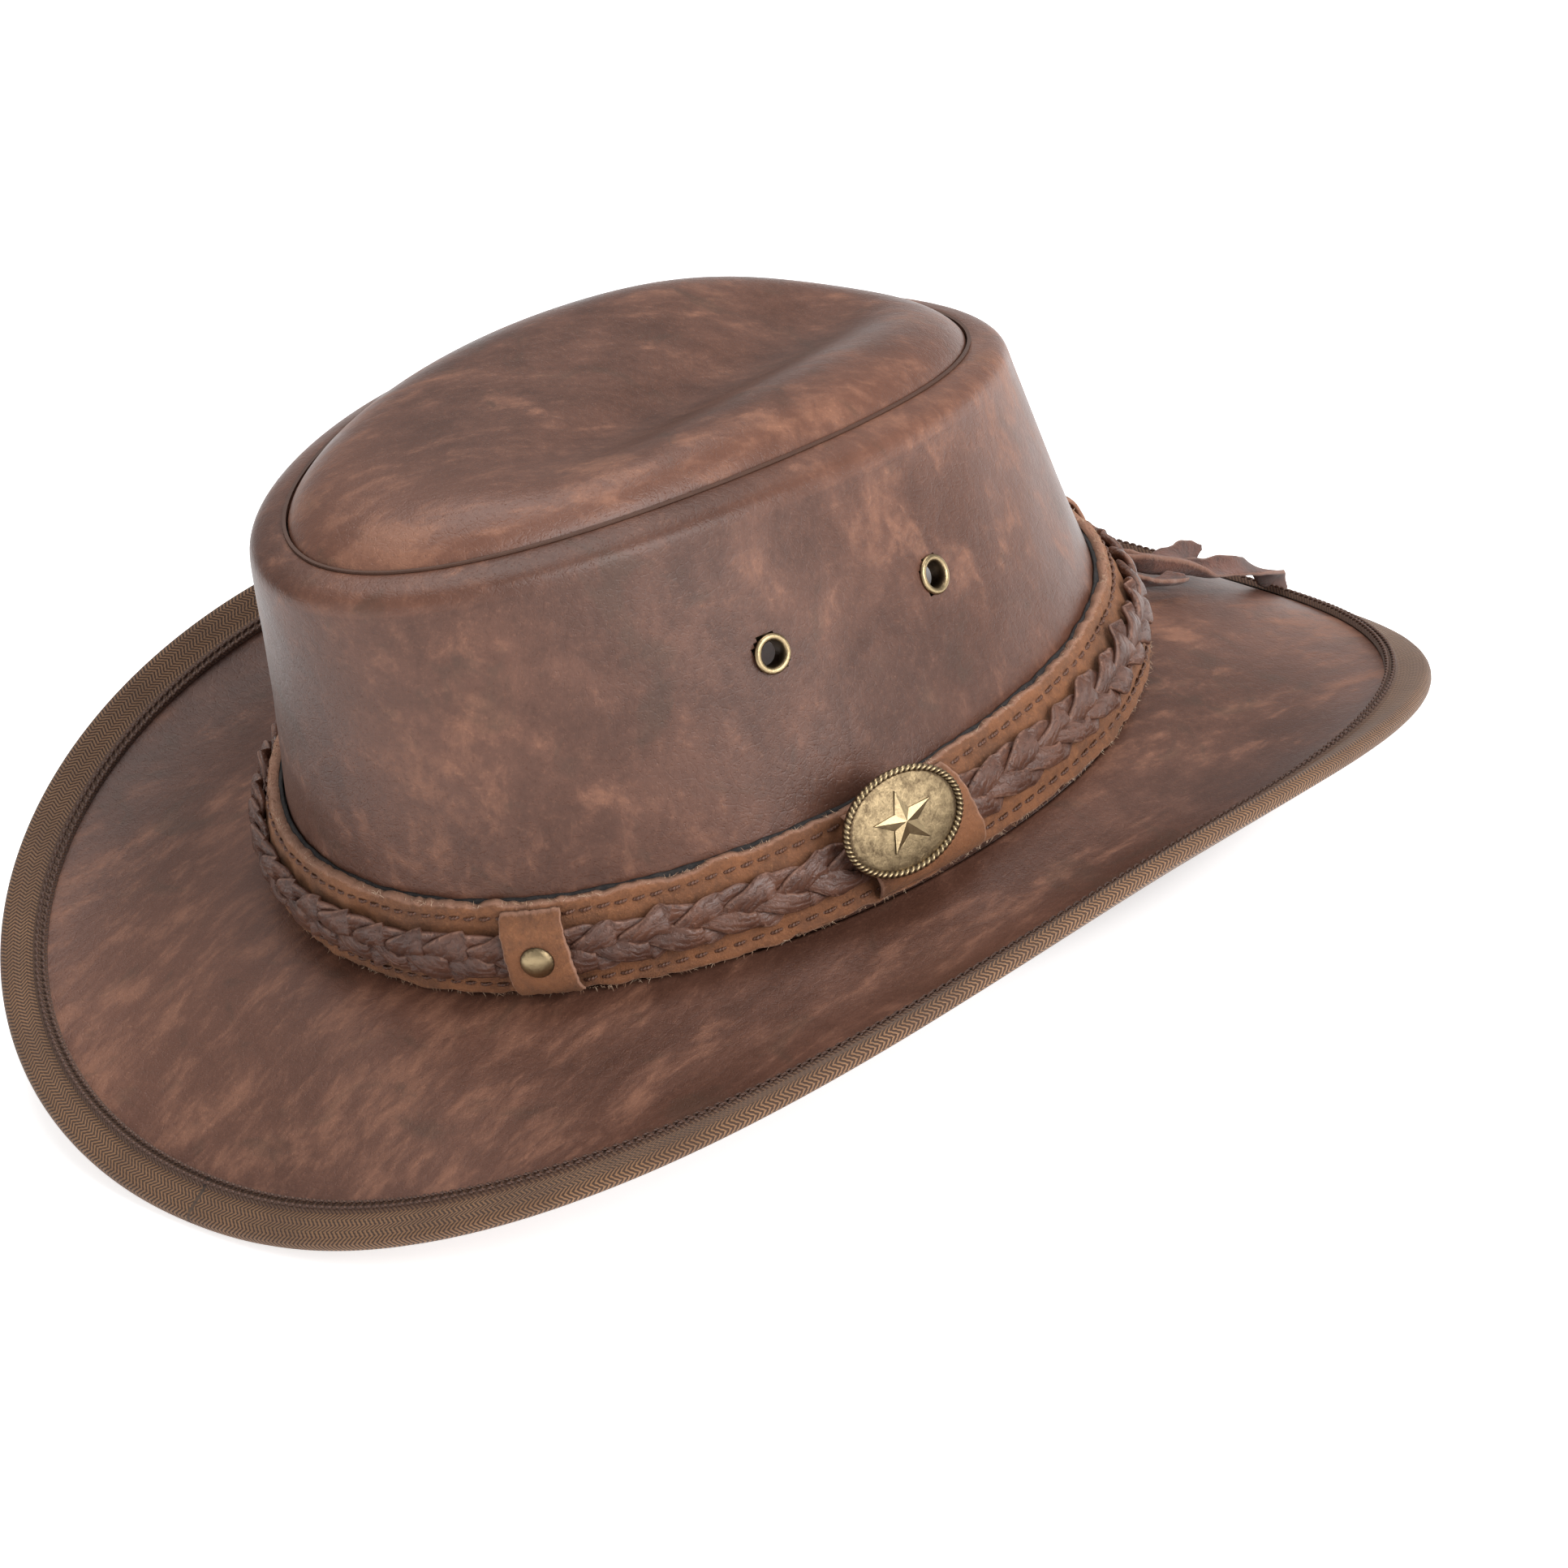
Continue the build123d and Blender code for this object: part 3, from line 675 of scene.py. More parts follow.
def dark_backing():
    f = Finish("Black_Backing")
    nap = f.noise(1.2, 5, 0.7)
    black = f.mix(nap.step(0.35, 0.7), (0.006, 0.005, 0.005), (0.028, 0.022, 0.020))
    f.paint(Base_Color=black, Roughness=0.8)
    f.bump(nap, 0.3)
    return f.material


def antique_brass(name):
    """Rubbed bright on what stands up, dark in the hollows."""
    c = colours()
    f = Finish(name, metallic=1.0)
    grime = f.noise(2.4, 6, 0.7, 0.4)
    fine = f.noise(0.5, 4, 0.7)
    bright = (f.mark("raised") + (grime - 0.5) * 0.9 + (fine - 0.5) * 0.5).step(0.25, 0.85)
    base = f.mix(bright, c.patina, c.brass)
    f.paint(Base_Color=base, Roughness=0.50 - bright * 0.18 + (fine - 0.5) * 0.15)
    f.bump(fine * 0.5 + grime, 0.10)
    return f.material


def dull_steel():
    f = Finish("Wire_Steel", metallic=1.0)
    scratch = f.noise(0.8, 4, 0.7)
    f.paint(Base_Color=f.mix(scratch, (0.35, 0.35, 0.35), (0.6, 0.6, 0.6)), Roughness=0.35 + scratch * 0.2)
    return f.material


def lining_tape():
    f = Finish("Seam_Tape")
    weave = f.noise(0.9, 3, 0.6, stretch=((1, 1, 0.25), 0))
    f.paint(Base_Color=f.mix(weave, (0.03, 0.02, 0.015), (0.09, 0.06, 0.045)), Roughness=0.85)
    f.bump(weave, 0.2)
    return f.material


def pale_fibre():
    f = Finish("Pale_Fibre")
    pale = f.mix(f.noise(3, 3).step(0.35, 0.65), (0.36, 0.20, 0.12), (0.62, 0.46, 0.33))
    f.paint(Base_Color=pale, Roughness=0.9)
    return f.material


MAKERS = {
    "crown": lambda: waxed_leather("Crown_Leather", -0.012, 0.38, ((1.0, 1.0, 1.3), 0)),
    "tip": lambda: waxed_leather("Tip_Leather", -0.012, 0.36, ((1.7, 0.8, 1.0), radians(62))),
    "brim": lambda: waxed_leather("Brim_Leather", 0.004, 0.44, ((2.1, 0.75, 1.0), radians(88))),
    "sweat": sweat_leather,
    "tan": lambda: split_leather("Tan_Leather"),
    "braid": lace_leather,
    "suede": suede,
    "tape": woven_tape,
    "thread": lambda: thread("Waxed_Thread", (0.04, 0.017, 0.010), (0.11, 0.05, 0.03)),
    "brown_thread": lambda: thread("Strap_Thread", (0.06, 0.024, 0.013), (0.15, 0.06, 0.032)),
    "backing": dark_backing,
    "brass": lambda: antique_brass("Antique_Brass"),
    "steel": dull_steel,
    "lining": lining_tape,
    "fibre": pale_fibre,
}
MADE = {}


def finish_of(key):
    """The material of that name, made when it is first asked for."""
    if key not in MADE:
        MADE[key] = MAKERS[key]()
    return MADE[key]


def around(count):
    return np.arange(count) * tau / count


# ---------------------------------------------------------------- operators


class HatOperator:
    bl_options = {"REGISTER"}

    def execute(self, context):
        self.build()
        return {"FINISHED"}


def vent_frames():
    """Where the four vents go through the crown."""
    frames = []
    for place_at in (radians(71.8), radians(99.2)):
        for turn in (place_at, -place_at):
            full = float(seam_line(turn) - hat().lip_height - base_line(turn))
            frames.append(wall_frame(turn, 0.666 * full, 0.0))
    return frames


class HAT_OT_crown_side(HatOperator, Operator):
    """Tapered crown wall with its rolled lip"""

    bl_idname = "hat.crown_side"
    bl_label = "Crown side"

    def build(self):
        s = hat()
        count = 560
        turn = around(count)[:, None]
        foot = -s.brim_leather / s.seam_height
        levels = np.linspace(foot, 0.985, 84)
        rolls = np.linspace(0.06, 1, 18)
        outer = np.concatenate([wall(turn, levels[None]), lip(turn, rolls[None])], 1)
        fade = np.sin(np.clip(np.concatenate([levels, np.full(18, 1.0)]), 0, 1) * pi) ** 0.5
        out = unit(outer - outer.mean((0, 1)))
        dents = ripple(outer, 0.075, 3) * 0.5 + ripple(outer, 0.03, 4) * 0.12
        outer = outer + out * (dents * fade[None] * MM)[..., None]
        low, high = 76, 98
        for _ in range(12):
            soft = (outer[:, low - 1 : high - 1] + 2 * outer[:, low:high] + outer[:, low + 1 : high + 1]) / 4
            outer[:, low:high] = soft
        sunk = outer[:, -1:] - np.array([0, 0, 1.6 * MM])
        inner_lip = lifted(lip, turn, np.linspace(0.94, 0.1, 8)[None], -s.leather)
        inner_wall = lifted(wall, turn, np.linspace(0.98, foot, 84)[None], -s.leather)
        points = np.concatenate([outer, sunk, inner_lip, inner_wall], 1)
        wear = np.zeros(points.shape[:2])
        wear[:, 84:103] = 0.5
        front = np.exp(-((((turn - radians(15)) / radians(30)) ** 2)))
        back = np.exp(-((((turn - radians(125)) / radians(22)) ** 2)))
        wear = wear + 0.55 * back + 0.30 * front + 0.35 * np.clip(ripple(points, 0.10, 11), -1, 1)
        faces = np.array(grid_faces(*points.shape[:2], True, True))
        flat = points.reshape(-1, 3)
        for frame_at in vent_frames():
            away = flat - np.array(frame_at.translation)
            along, out = np.array(frame_at.col[0][:3]), np.array(frame_at.col[1][:3])
            near = np.hypot(away @ along, away @ out) < 3.7 * MM
            near &= np.linalg.norm(away, axis=1) < 8 * MM
            faces = faces[~near[faces].any(1)]
        finish_mesh(
            "Crown_Side", points, faces.tolist(), {"wear": wear}, finish_of("crown"), "hat", ("crown_side",)
        )


class HAT_OT_crown_tip(HatOperator, Operator):
    """Domed and creased oval top panel"""

    bl_idname = "hat.crown_tip"
    bl_label = "Crown tip"

    def surface(self, turn, radius):
        """Top of the panel at a share of the way out to the seam."""
        s = hat()
        along, across = radius * np.cos(turn), radius * np.sin(turn)
        back = 2.2 * ((1 - along) / 2) ** 4
        flat = s.seam_height + (10.5 * along + back - 4.0 * (along**2 - across**2)) * MM
        dome = 12.0 * MM * np.maximum(1 - radius**6, 0) ** 0.8
        centre = 0.30 + 0.25 * along
        ends = np.clip(1 - ((along + 0.12) / 0.86) ** 2, 0, 1) ** 1.5
        valley = 7.0 * MM * np.exp(-(((across - centre) / 0.26) ** 2)) * ends
        back_dent = 3.5 * MM * np.exp(-(((across + 0.10) / 0.30) ** 2) - ((along + 0.60) / 0.20) ** 2)
        ridge = 4.4 * MM * np.exp(-(((across + 0.55) / 0.32) ** 2) - ((along + 0.33) / 0.55) ** 2)
        x = across * (s.seam_width - 0.2 * MM)
        y = -along * (s.seam_length - 0.2 * MM) - s.crown_shift - s.seam_shift
        return place(x, y, flat + dome + (ridge - valley - back_dent) * (1 - radius**8))

    def build(self):
        s = hat()
        turn = around(360)[:, None]
        rim_radii = 0.8 + 0.2 * np.sin(np.linspace(0.08, 1, 22) * pi / 2)
        radii = np.concatenate([[0.0005, 0.001], np.linspace(0.02, 0.8, 44), rim_radii])
        outer = self.surface(turn, radii[None])
        normal_lift = ripple(outer, 0.06, 21)[..., None] * np.array([0, 0, 1])
        outer = outer + normal_lift * (0.5 * MM * (1 - radii**6))[None, :, None]
        flange = outer[:, -1:] - np.array([0, 0, 1]) * (np.array([1.0, 3.0, 5.5]) * MM)[None, :, None]
        middle = np.array([0, s.edge_shift - s.crown_shift - s.seam_shift, 0])
        inside = (flange[:, ::-1] - middle) * np.array([0.975, 0.985, 1]) + middle
        under = self.surface(turn, radii[None, ::-1] * 0.975)[:, ::2] - np.array([0, 0, s.leather])
        points = np.concatenate([outer, flange, inside, under], 1)
        wear = np.zeros(points.shape[:2])
        along = radii[None] * np.cos(turn)
        rim = 0.45 * np.clip((radii[None] - 0.62) / 0.3, 0, 1) ** 2
        wear[:, : len(radii)] = 0.75 * np.exp(-(((along - 0.85) / 0.32) ** 2)) + rim
        wear += 0.4 * np.clip(ripple(points, 0.09, 31), 0, 1)
        ring("Crown_Tip", points, finish_of("tip"), "hat", ("crown_tip",), wear=wear)


class HAT_OT_brim(HatOperator, Operator):
    """Brim leather with its droop and curl"""

    bl_idname = "hat.brim"
    bl_label = "Brim"

    def build(self):
        s = hat()
        turn = around(720)[:, None]
        reach = np.linspace(0, 1, 60)
        top = brim(turn, reach[None])
        wave = ripple(top, 0.10, 41) * np.sin(reach * pi)[None] * 0.7 * MM
        top = top + wave[..., None] * np.array([0, 0, 1])
        under = lifted(brim, turn, reach[None, ::-2], -s.brim_leather)
        under = under + wave[:, ::-2, None] * np.array([0, 0, 1])
        points = np.concatenate([top, under], 1)
        front = np.exp(-(((((turn + radians(25)) + pi) % tau - pi) / radians(50)) ** 2))
        back = np.exp(-(((((turn - radians(150)) + pi) % tau - pi) / radians(45)) ** 2))
        wear = np.broadcast_to(0.9 * front + 0.35 * back, points.shape[:2])
        wear = wear + 0.4 * np.clip(ripple(points, 0.12, 43), -1, 1)
        ring("Brim_Leather", points, finish_of("brim"), "hat", ("brim",), wear=wear)


class HAT_OT_binding(HatOperator, Operator):
    """Woven tape folded over the brim's edge, with its double row of stitching"""

    bl_idname = "hat.binding"
    bl_label = "Edge binding"

    def build(self):
        s = hat()
        turn = around(900)[:, None]
        width = s.tape_width
        shares = (1.03, 1.0, 0.96, 0.90, 0.84, 0.78, 0.72, 0.66, 0.61, 0.58, 0.54, 0.47, 0.38, 0.27, 0.16, 0.06)
        ridge = (0.0, 0.6, 1.0, 0.9, 0.45, 0.85, 1.0, 0.6, 0.15, 0, 0, 0, 0, 0, 0, 0)
        tops = [width * k for k in shares]
        steps = [("top", d) for d in tops]
        steps += [("bend", a) for a in (8, 25, 45, 65, 85, 105, 125, 145, 165, 176)]
        steps += [("under", width * k) for k in (0.02, 0.2, 0.4, 0.6, 0.8, 0.97, 1)]
        rise = np.array(list(ridge) + [0] * 17) * 0.75 * MM
        lifts = np.full(len(steps), s.tape)
        lifts[0] = lifts[-1] = 0.35 * s.tape
        columns = [fold(turn[:, 0], part, value, lifts[k] + rise[k]) for k, (part, value) in enumerate(steps)]
        inner = [fold(turn[:, 0], part, value, 0.05 * MM) for part, value in steps[::-4]]
        points = np.stack(columns + inner, 1)
        gaps = np.linalg.norm(np.diff(points, axis=1), axis=-1).mean(0)
        across = np.broadcast_to(np.concatenate([[0], np.cumsum(gaps)]) / MM, points.shape[:2])
        edge = points[:, 21]
        gaps = np.linalg.norm(np.roll(edge, -1, 0) - edge, axis=-1)
        total = gaps.sum()
        along = np.cumsum(gaps) * round(total / MM) / total
        along = np.broadcast_to(along[:, None] - along[0], points.shape[:2]).copy()
        marks = np.array([1] * 8 + [0.7, 0.2] + [0] * (points.shape[1] - 10), float)
        ring("Brim_Binding", points, finish_of("tape"), "hat", ("brim_binding",),
             along=along, across=across, ridge=np.broadcast_to(marks, points.shape[:2]))
        self.stitches(width)

    def stitches(self, width):
        count = 430
        rows = []
        ups = []
        for index, distance in enumerate((width * 0.73, width * 0.94)):
            middle = around(count) + index * tau / count / 2
            spread = np.linspace(-0.40, 0.40, 6) * tau / count
            turn = middle[:, None] + spread[None]
            arch = 1 - np.abs(np.linspace(-1, 1, 6)) ** 2
            lift = (1.45 + 0.42 * arch) * MM
            distances = distance + np.linspace(-0.25, 0.25, 6)[None] * MM
            path = on_brim(turn, distances, lift[None])
            rows.append(path)
            ups.append(unit(on_brim(turn, distances, lift[None] + MM) - path))
        paths, ups = np.concatenate(rows), np.concatenate(ups)
        taper = np.array([0.6, 0.95, 1, 1, 0.95, 0.6])
        rods("Binding_Stitching", paths, ups, 0.42 * MM * taper, 0.34 * MM * taper, finish_of("thread"), "hat",
             ("binding_stitching",), sides=6)


class HAT_OT_sweatband(HatOperator, Operator):
    """Leather sweatband inside the crown and its stitching"""

    bl_idname = "hat.sweatband"
    bl_label = "Sweatband"

    def build(self):
        s = hat()
        turn = around(360)[:, None]
        low, high = -s.brim_leather, 32 * MM
        heights = np.concatenate([np.linspace(low, high, 16), np.linspace(high, low, 16)])
        far = -s.leather - 0.1 * MM
        lifts = np.concatenate([np.full(16, far - 1.2 * MM), np.full(16, far)])
        lifts[[0, 15]] += 0.35 * MM
        points = on_wall(turn, heights[None], lifts[None])
        ring("Sweatband", points, finish_of("sweat"), "hat", ("sweatband",))
        count = 150
        middle = around(count)
        turn = middle[:, None] + np.linspace(-0.34, 0.34, 6)[None] * tau / count
        arch = 1 - np.abs(np.linspace(-1, 1, 6)) ** 2
        lift = (far - 1.2 * MM - 0.25 * MM * arch)[None]
        path = on_wall(turn, 2.0 * MM, lift)
        ups = unit(on_wall(turn, 2.0 * MM, lift - MM) - path)
        rods("Sweatband_Stitching", path, ups, 0.35 * MM, 0.3 * MM, finish_of("thread"), "hat",
             ("sweatband_stitching",), sides=6)


class HAT_OT_vents(HatOperator, Operator):
    """Four brass eyelets with their inner washers"""

    bl_idname = "hat.vents"
    bl_label = "Vent eyelets"

    def build(self):
        frames = vent_frames()
        outside = [
            (3.25, -3.0), (3.25, -0.1), (4.1, 0.1), (4.35, 0.25), (4.45, 0.5), (4.35, 0.8), (4.1, 1.0), (3.75, 1.1),
            (3.35, 1.02), (3.0, 0.75), (2.8, 0.3), (2.7, -0.3), (2.7, -3.0),
        ]
        profile = [(r * MM, h * MM) for r, h in outside]
        raised = [0, 0, 0.2, 0.6, 0.9, 1, 1, 0.95, 0.8, 0.4, 0.1, 0, 0]
        turned("Vent_Eyelets", frames, profile, finish_of("brass"), "hat", ("vent_eyelets",), raised=raised)
        washer = [(3.3, -2.7), (3.5, -2.95), (4.2, -3.1), (4.8, -2.95), (5.0, -2.7), (4.8, -2.45), (3.5, -2.4)]
        profile = [(r * MM, h * MM) for r, h in washer]
        turned("Vent_Washers", frames, profile, finish_of("brass"), "hat", ("vent_washers",), raised=[0.7] * 7)


def strap_face(height):
    """Front of the strap, which leans in on the crown towards its upper edge."""
    b = band()
    share = np.clip((height - b.foot) / b.height, 0, 1.1)
    return b.backing_start + b.backing + 0.05 * MM + b.strap - 1.7 * MM * share**2


class HAT_OT_strap(HatOperator, Operator):
    """Black backing and rough tan strap of the hat band, with two stitched rows"""

    bl_idname = "hat.strap"
    bl_label = "Band strap"

    def build(self):
        b = band()
        count = 960
        turn = around(count)[:, None]
        self.backing(turn, count)
        low, high = b.foot, b.foot + b.height
        shares = np.concatenate([[0, 0.012, 0.04], np.linspace(0.08, 0.92, 30), [0.96, 0.988, 1]])
        height = low + (high - low) * shares[None]
        ragged = rough(count, 5, 2)[:, None] * 0.45 * MM + rough(count, 6, 12)[:, None] * 1.2 * MM
        ragged_low = rough(count, 7, 2)[:, None] * 0.35 * MM + rough(count, 8, 12)[:, None] * 1.0 * MM
        height = height + ragged * np.clip(shares[None] * 4 - 3, 0, 1)
        height = height + ragged_low * np.clip(1 - shares[None] * 4, 0, 1)
        edge = np.clip(np.abs(shares * 2 - 1) * 14 - 13, 0, 1)
        lift = strap_face(low + (high - low) * shares) - 0.7 * MM * edge**2
        for row in (b.stitch_margin, b.height - b.stitch_margin):
            lift = lift - 0.42 * MM * np.exp(-(((shares * b.height - row) / (0.9 * MM)) ** 2))
        lift = lift[None] + rough(count, 9, 20)[:, None] * 0.5 * MM
        outer = on_wall(turn, height, lift)
        outer = outer + ripple(outer, 0.006, 51)[..., None] * 0.12 * MM
        inner = on_wall(turn, height[:, ::-3], strap_face(height[:, ::-3]) - b.strap)
        points = np.concatenate([outer, inner], 1)
        marks = np.concatenate([np.clip(np.abs(shares * 2 - 1) * 9 - 8, 0, 1), np.ones(inner.shape[1])])
        ring("Band_Strap", points, finish_of("tan"), "band", ("band_strap",),
             edge=np.broadcast_to(marks, points.shape[:2]))
        for name, node, row in (
            ("Strap_Stitching_Lower", "strap_stitching_lower", low + b.stitch_margin),
            ("Strap_Stitching_Upper", "strap_stitching_upper", high - b.stitch_margin),
        ):
            self.stitches(name, node, row)
        self.fibres(low, high)

    def backing(self, turn, count):
        b = band()
        middle, top = b.foot + b.height * 0.7, b.foot + b.height + 0.35 * MM
        heights = np.array([b.foot, b.foot, middle, top - 0.3 * MM, top, top, top - 0.3 * MM, middle, b.foot])
        face = strap_face(heights) - b.strap - 0.05 * MM
        lifts = face - b.backing * np.array([0.9, 0, 0, 0, 0.3, 0.6, 0.75, 0.9, 1])
        uneven = rough(count, 15, 10)[:, None] * 0.6 * MM * (heights > middle)[None]
        points = on_wall(turn, heights[None] + uneven, lifts[None])
        ring("Band_Backing", points, finish_of("backing"), "band", ("band_backing",))

    def stitches(self, name, node, row):
        count = 152
        middle = around(count) + rough(count, 17) * 0.1 * tau / count
        turn = middle[:, None] + np.linspace(-0.37, 0.37, 8)[None] * tau / count
        arch = 1 - np.abs(np.linspace(-1, 1, 8)) ** 2.5
        lift = strap_face(row) + (-0.62 + 0.68 * arch)[None] * MM
        height = row + rough(count, 18)[:, None] * 0.2 * MM + np.linspace(-0.12, 0.12, 8)[None] * MM
        path = on_wall(turn, height, lift)
        ups = unit(on_wall(turn, height, lift + MM) - path)
        taper = np.array([0.7, 0.9, 1, 1, 1, 1, 0.9, 0.7])
        rods(name, path, ups, 0.40 * MM * taper, 0.30 * MM * taper, finish_of("brown_thread"), "band", (node,), sides=8)

    def fibres(self, low, high):
        """Short pale hairs along the strap's torn edges."""
        rng = np.random.RandomState(77)
        count = 2600
        turn = rng.uniform(0, tau, count)
        upper = rng.uniform(size=count) > 0.5
        height = np.where(upper, high, low)
        reach = rng.uniform(0.3, 1.3, count) ** 1.5 * MM
        way = np.where(upper, 0.7, -0.8)
        steps = np.linspace(0, 1, 4)
        drift = rng.normal(0, 0.006, count)
        turns = turn[:, None] + drift[:, None] * steps[None]
        heights = height[:, None] + (way * reach)[:, None] * steps[None] - way[:, None] * 0.3 * MM
        out = rng.uniform(-1.0, 0.35, count)[:, None] * MM
        out = out + rng.normal(0, 0.5, count)[:, None] * steps[None] ** 2 * MM
        face = strap_face(height)[:, None]
        path = on_wall(turns, heights, face - 0.4 * MM + out)
        ups = unit(on_wall(turns, heights, face + MM) - path)
        taper = np.array([1, 0.85, 0.6, 0.2])
        rods("Strap_Fibres", path, ups, 0.075 * MM * taper, 0.06 * MM * taper, finish_of("fibre"), "band", sides=3)


class HAT_OT_braid(HatOperator, Operator):
    """Three dark laces braided along the strap"""

    bl_idname = "hat.braid"
    bl_label = "Braid"

    def build(self):
        b = band()
        for index, letter in enumerate("abc"):
            turn = np.linspace(-b.braid_end, b.braid_end, b.strand_turns * 72)
            swing = b.strand_turns * turn / (2 * b.braid_end) * tau + tau * index / 3
            middle = b.foot + b.height / 2
            height = middle + b.braid_swing / 2 * np.sin(swing)
            over = np.sin(2 * swing)
            lift = strap_face(middle) + b.strand_thickness * 0.38 + 0.85 * MM * (1 + over)
            path = on_wall(turn, height, lift)
            up = unit(on_wall(turn, height, lift + MM) - path)
            along = unit(np.gradient(path, axis=0))
            side = np.cross(along, up)
            tilt = 0.34 * np.cos(2 * swing) * np.sign(np.cos(swing))
            ups = up + side * tilt[:, None]
            uneven = rough(len(turn), 30 + index, 40) * 1.6
            wide = b.strand_width / 2 * (1 + 0.05 * np.sin(swing * 5 + index) + uneven)
            thick = b.strand_thickness / 2 * (1 + 0.08 * np.sin(swing * 3 + index))
            rods("Braid_Strand_" + letter.upper(), path[None], ups[None], wide[None], thick[None],
                 finish_of("braid"), "band", ("braid_strand_" + letter,), sides=24, flat=0.9)


def cover_rise():
    """How far a cover stands off the strap over the braid."""
    return 1.8 * MM + band().strand_thickness * 0.92


def arch_cover(name, node, middle, width, low, high, seed):
    """Leather cover that stands on the strap and clears the braid."""
    radius = np.linalg.norm(on_wall(middle, 0.0, 0.0)[:2])
    half = width / 2 / radius
    rows, columns = 36, 40
    turns = np.linspace(middle - half, middle + half, rows)[:, None]
    shares = np.linspace(0, 1, columns)[None]
    face = strap_face(low + (high - low) * shares)
    foot = 0.1 * MM
    top = cover_rise()
    rng_rows = rough(rows, seed, 1)[:, None] * 0.25 * MM
    rng_columns = rough(columns, seed + 1, 1)[None] * 0.25 * MM / radius
    rim = np.maximum(
        np.abs(np.linspace(-1, 1, rows))[:, None] ** 14, np.abs(np.linspace(-1, 1, columns))[None] ** 14
    )

    def arch(lift):
        rise = (top - foot) * (1 - (2 * shares - 1) ** 4)
        ends = np.linspace(-1, 1, rows)[:, None]
        height = low + (high - low) * shares + rng_rows * (2 * shares - 1) ** 3
        return on_wall(turns + rng_columns * ends**3, height, face + foot + rise + lift)

    front = arch(1.35 * MM - 0.5 * MM * rim)
    front = front + ripple(front, 0.008, seed)[..., None] * 0.08 * MM
    edge = np.broadcast_to(np.clip(rim * 1.5 - 0.2, 0, 1), front.shape[:2])
    slab(name, front, arch(0.0 * rim), finish_of("tan"), "band", (node,), edge=edge)


class HAT_OT_keepers(HatOperator, Operator):
    """Leather keepers over the braid, and the domed rivet of the front one"""

    bl_idname = "hat.keepers"
    bl_label = "Keepers"

    def build(self):
        b = band()
        top = b.foot + b.height
        arch_cover("Keeper_Front", "keeper_front", b.keeper_angle, 14.5 * MM, 1.4 * MM, top - 0.9 * MM, 61)
        arch_cover("Keeper_Badge", "keeper_badge", b.badge_angle + 0.045, 23 * MM, 1.6 * MM, top - 0.8 * MM, 63)
        arch_cover("Keeper_Back", "keeper_back", pi, 42 * MM, 2.0 * MM, top - 0.6 * MM, 65)
        head = float(strap_face(b.foot + b.height / 2)) + cover_rise() + 1.3 * MM
        at = wall_frame(b.keeper_angle, b.foot + b.height / 2, head)
        dome = [(0.01, 1.5), (0.03, 1.5), (0.8, 1.48), (1.6, 1.38), (2.4, 1.18), (3.0, 0.88), (3.5, 0.42), (3.7, 0.15), (3.6, 0.0)]
        profile = [(r * MM, h * MM) for r, h in dome + [(1.2, -0.1), (1.2, -6.5), (0.01, -6.5)]]
        raised = [0.9, 0.9, 0.9, 0.88, 0.85, 0.75, 0.5, 0.2, 0, 0, 0, 0]
        turned("Keeper_Rivet", [at], profile, finish_of("brass"), "band", ("keeper_rivet",), sides=48, raised=raised)


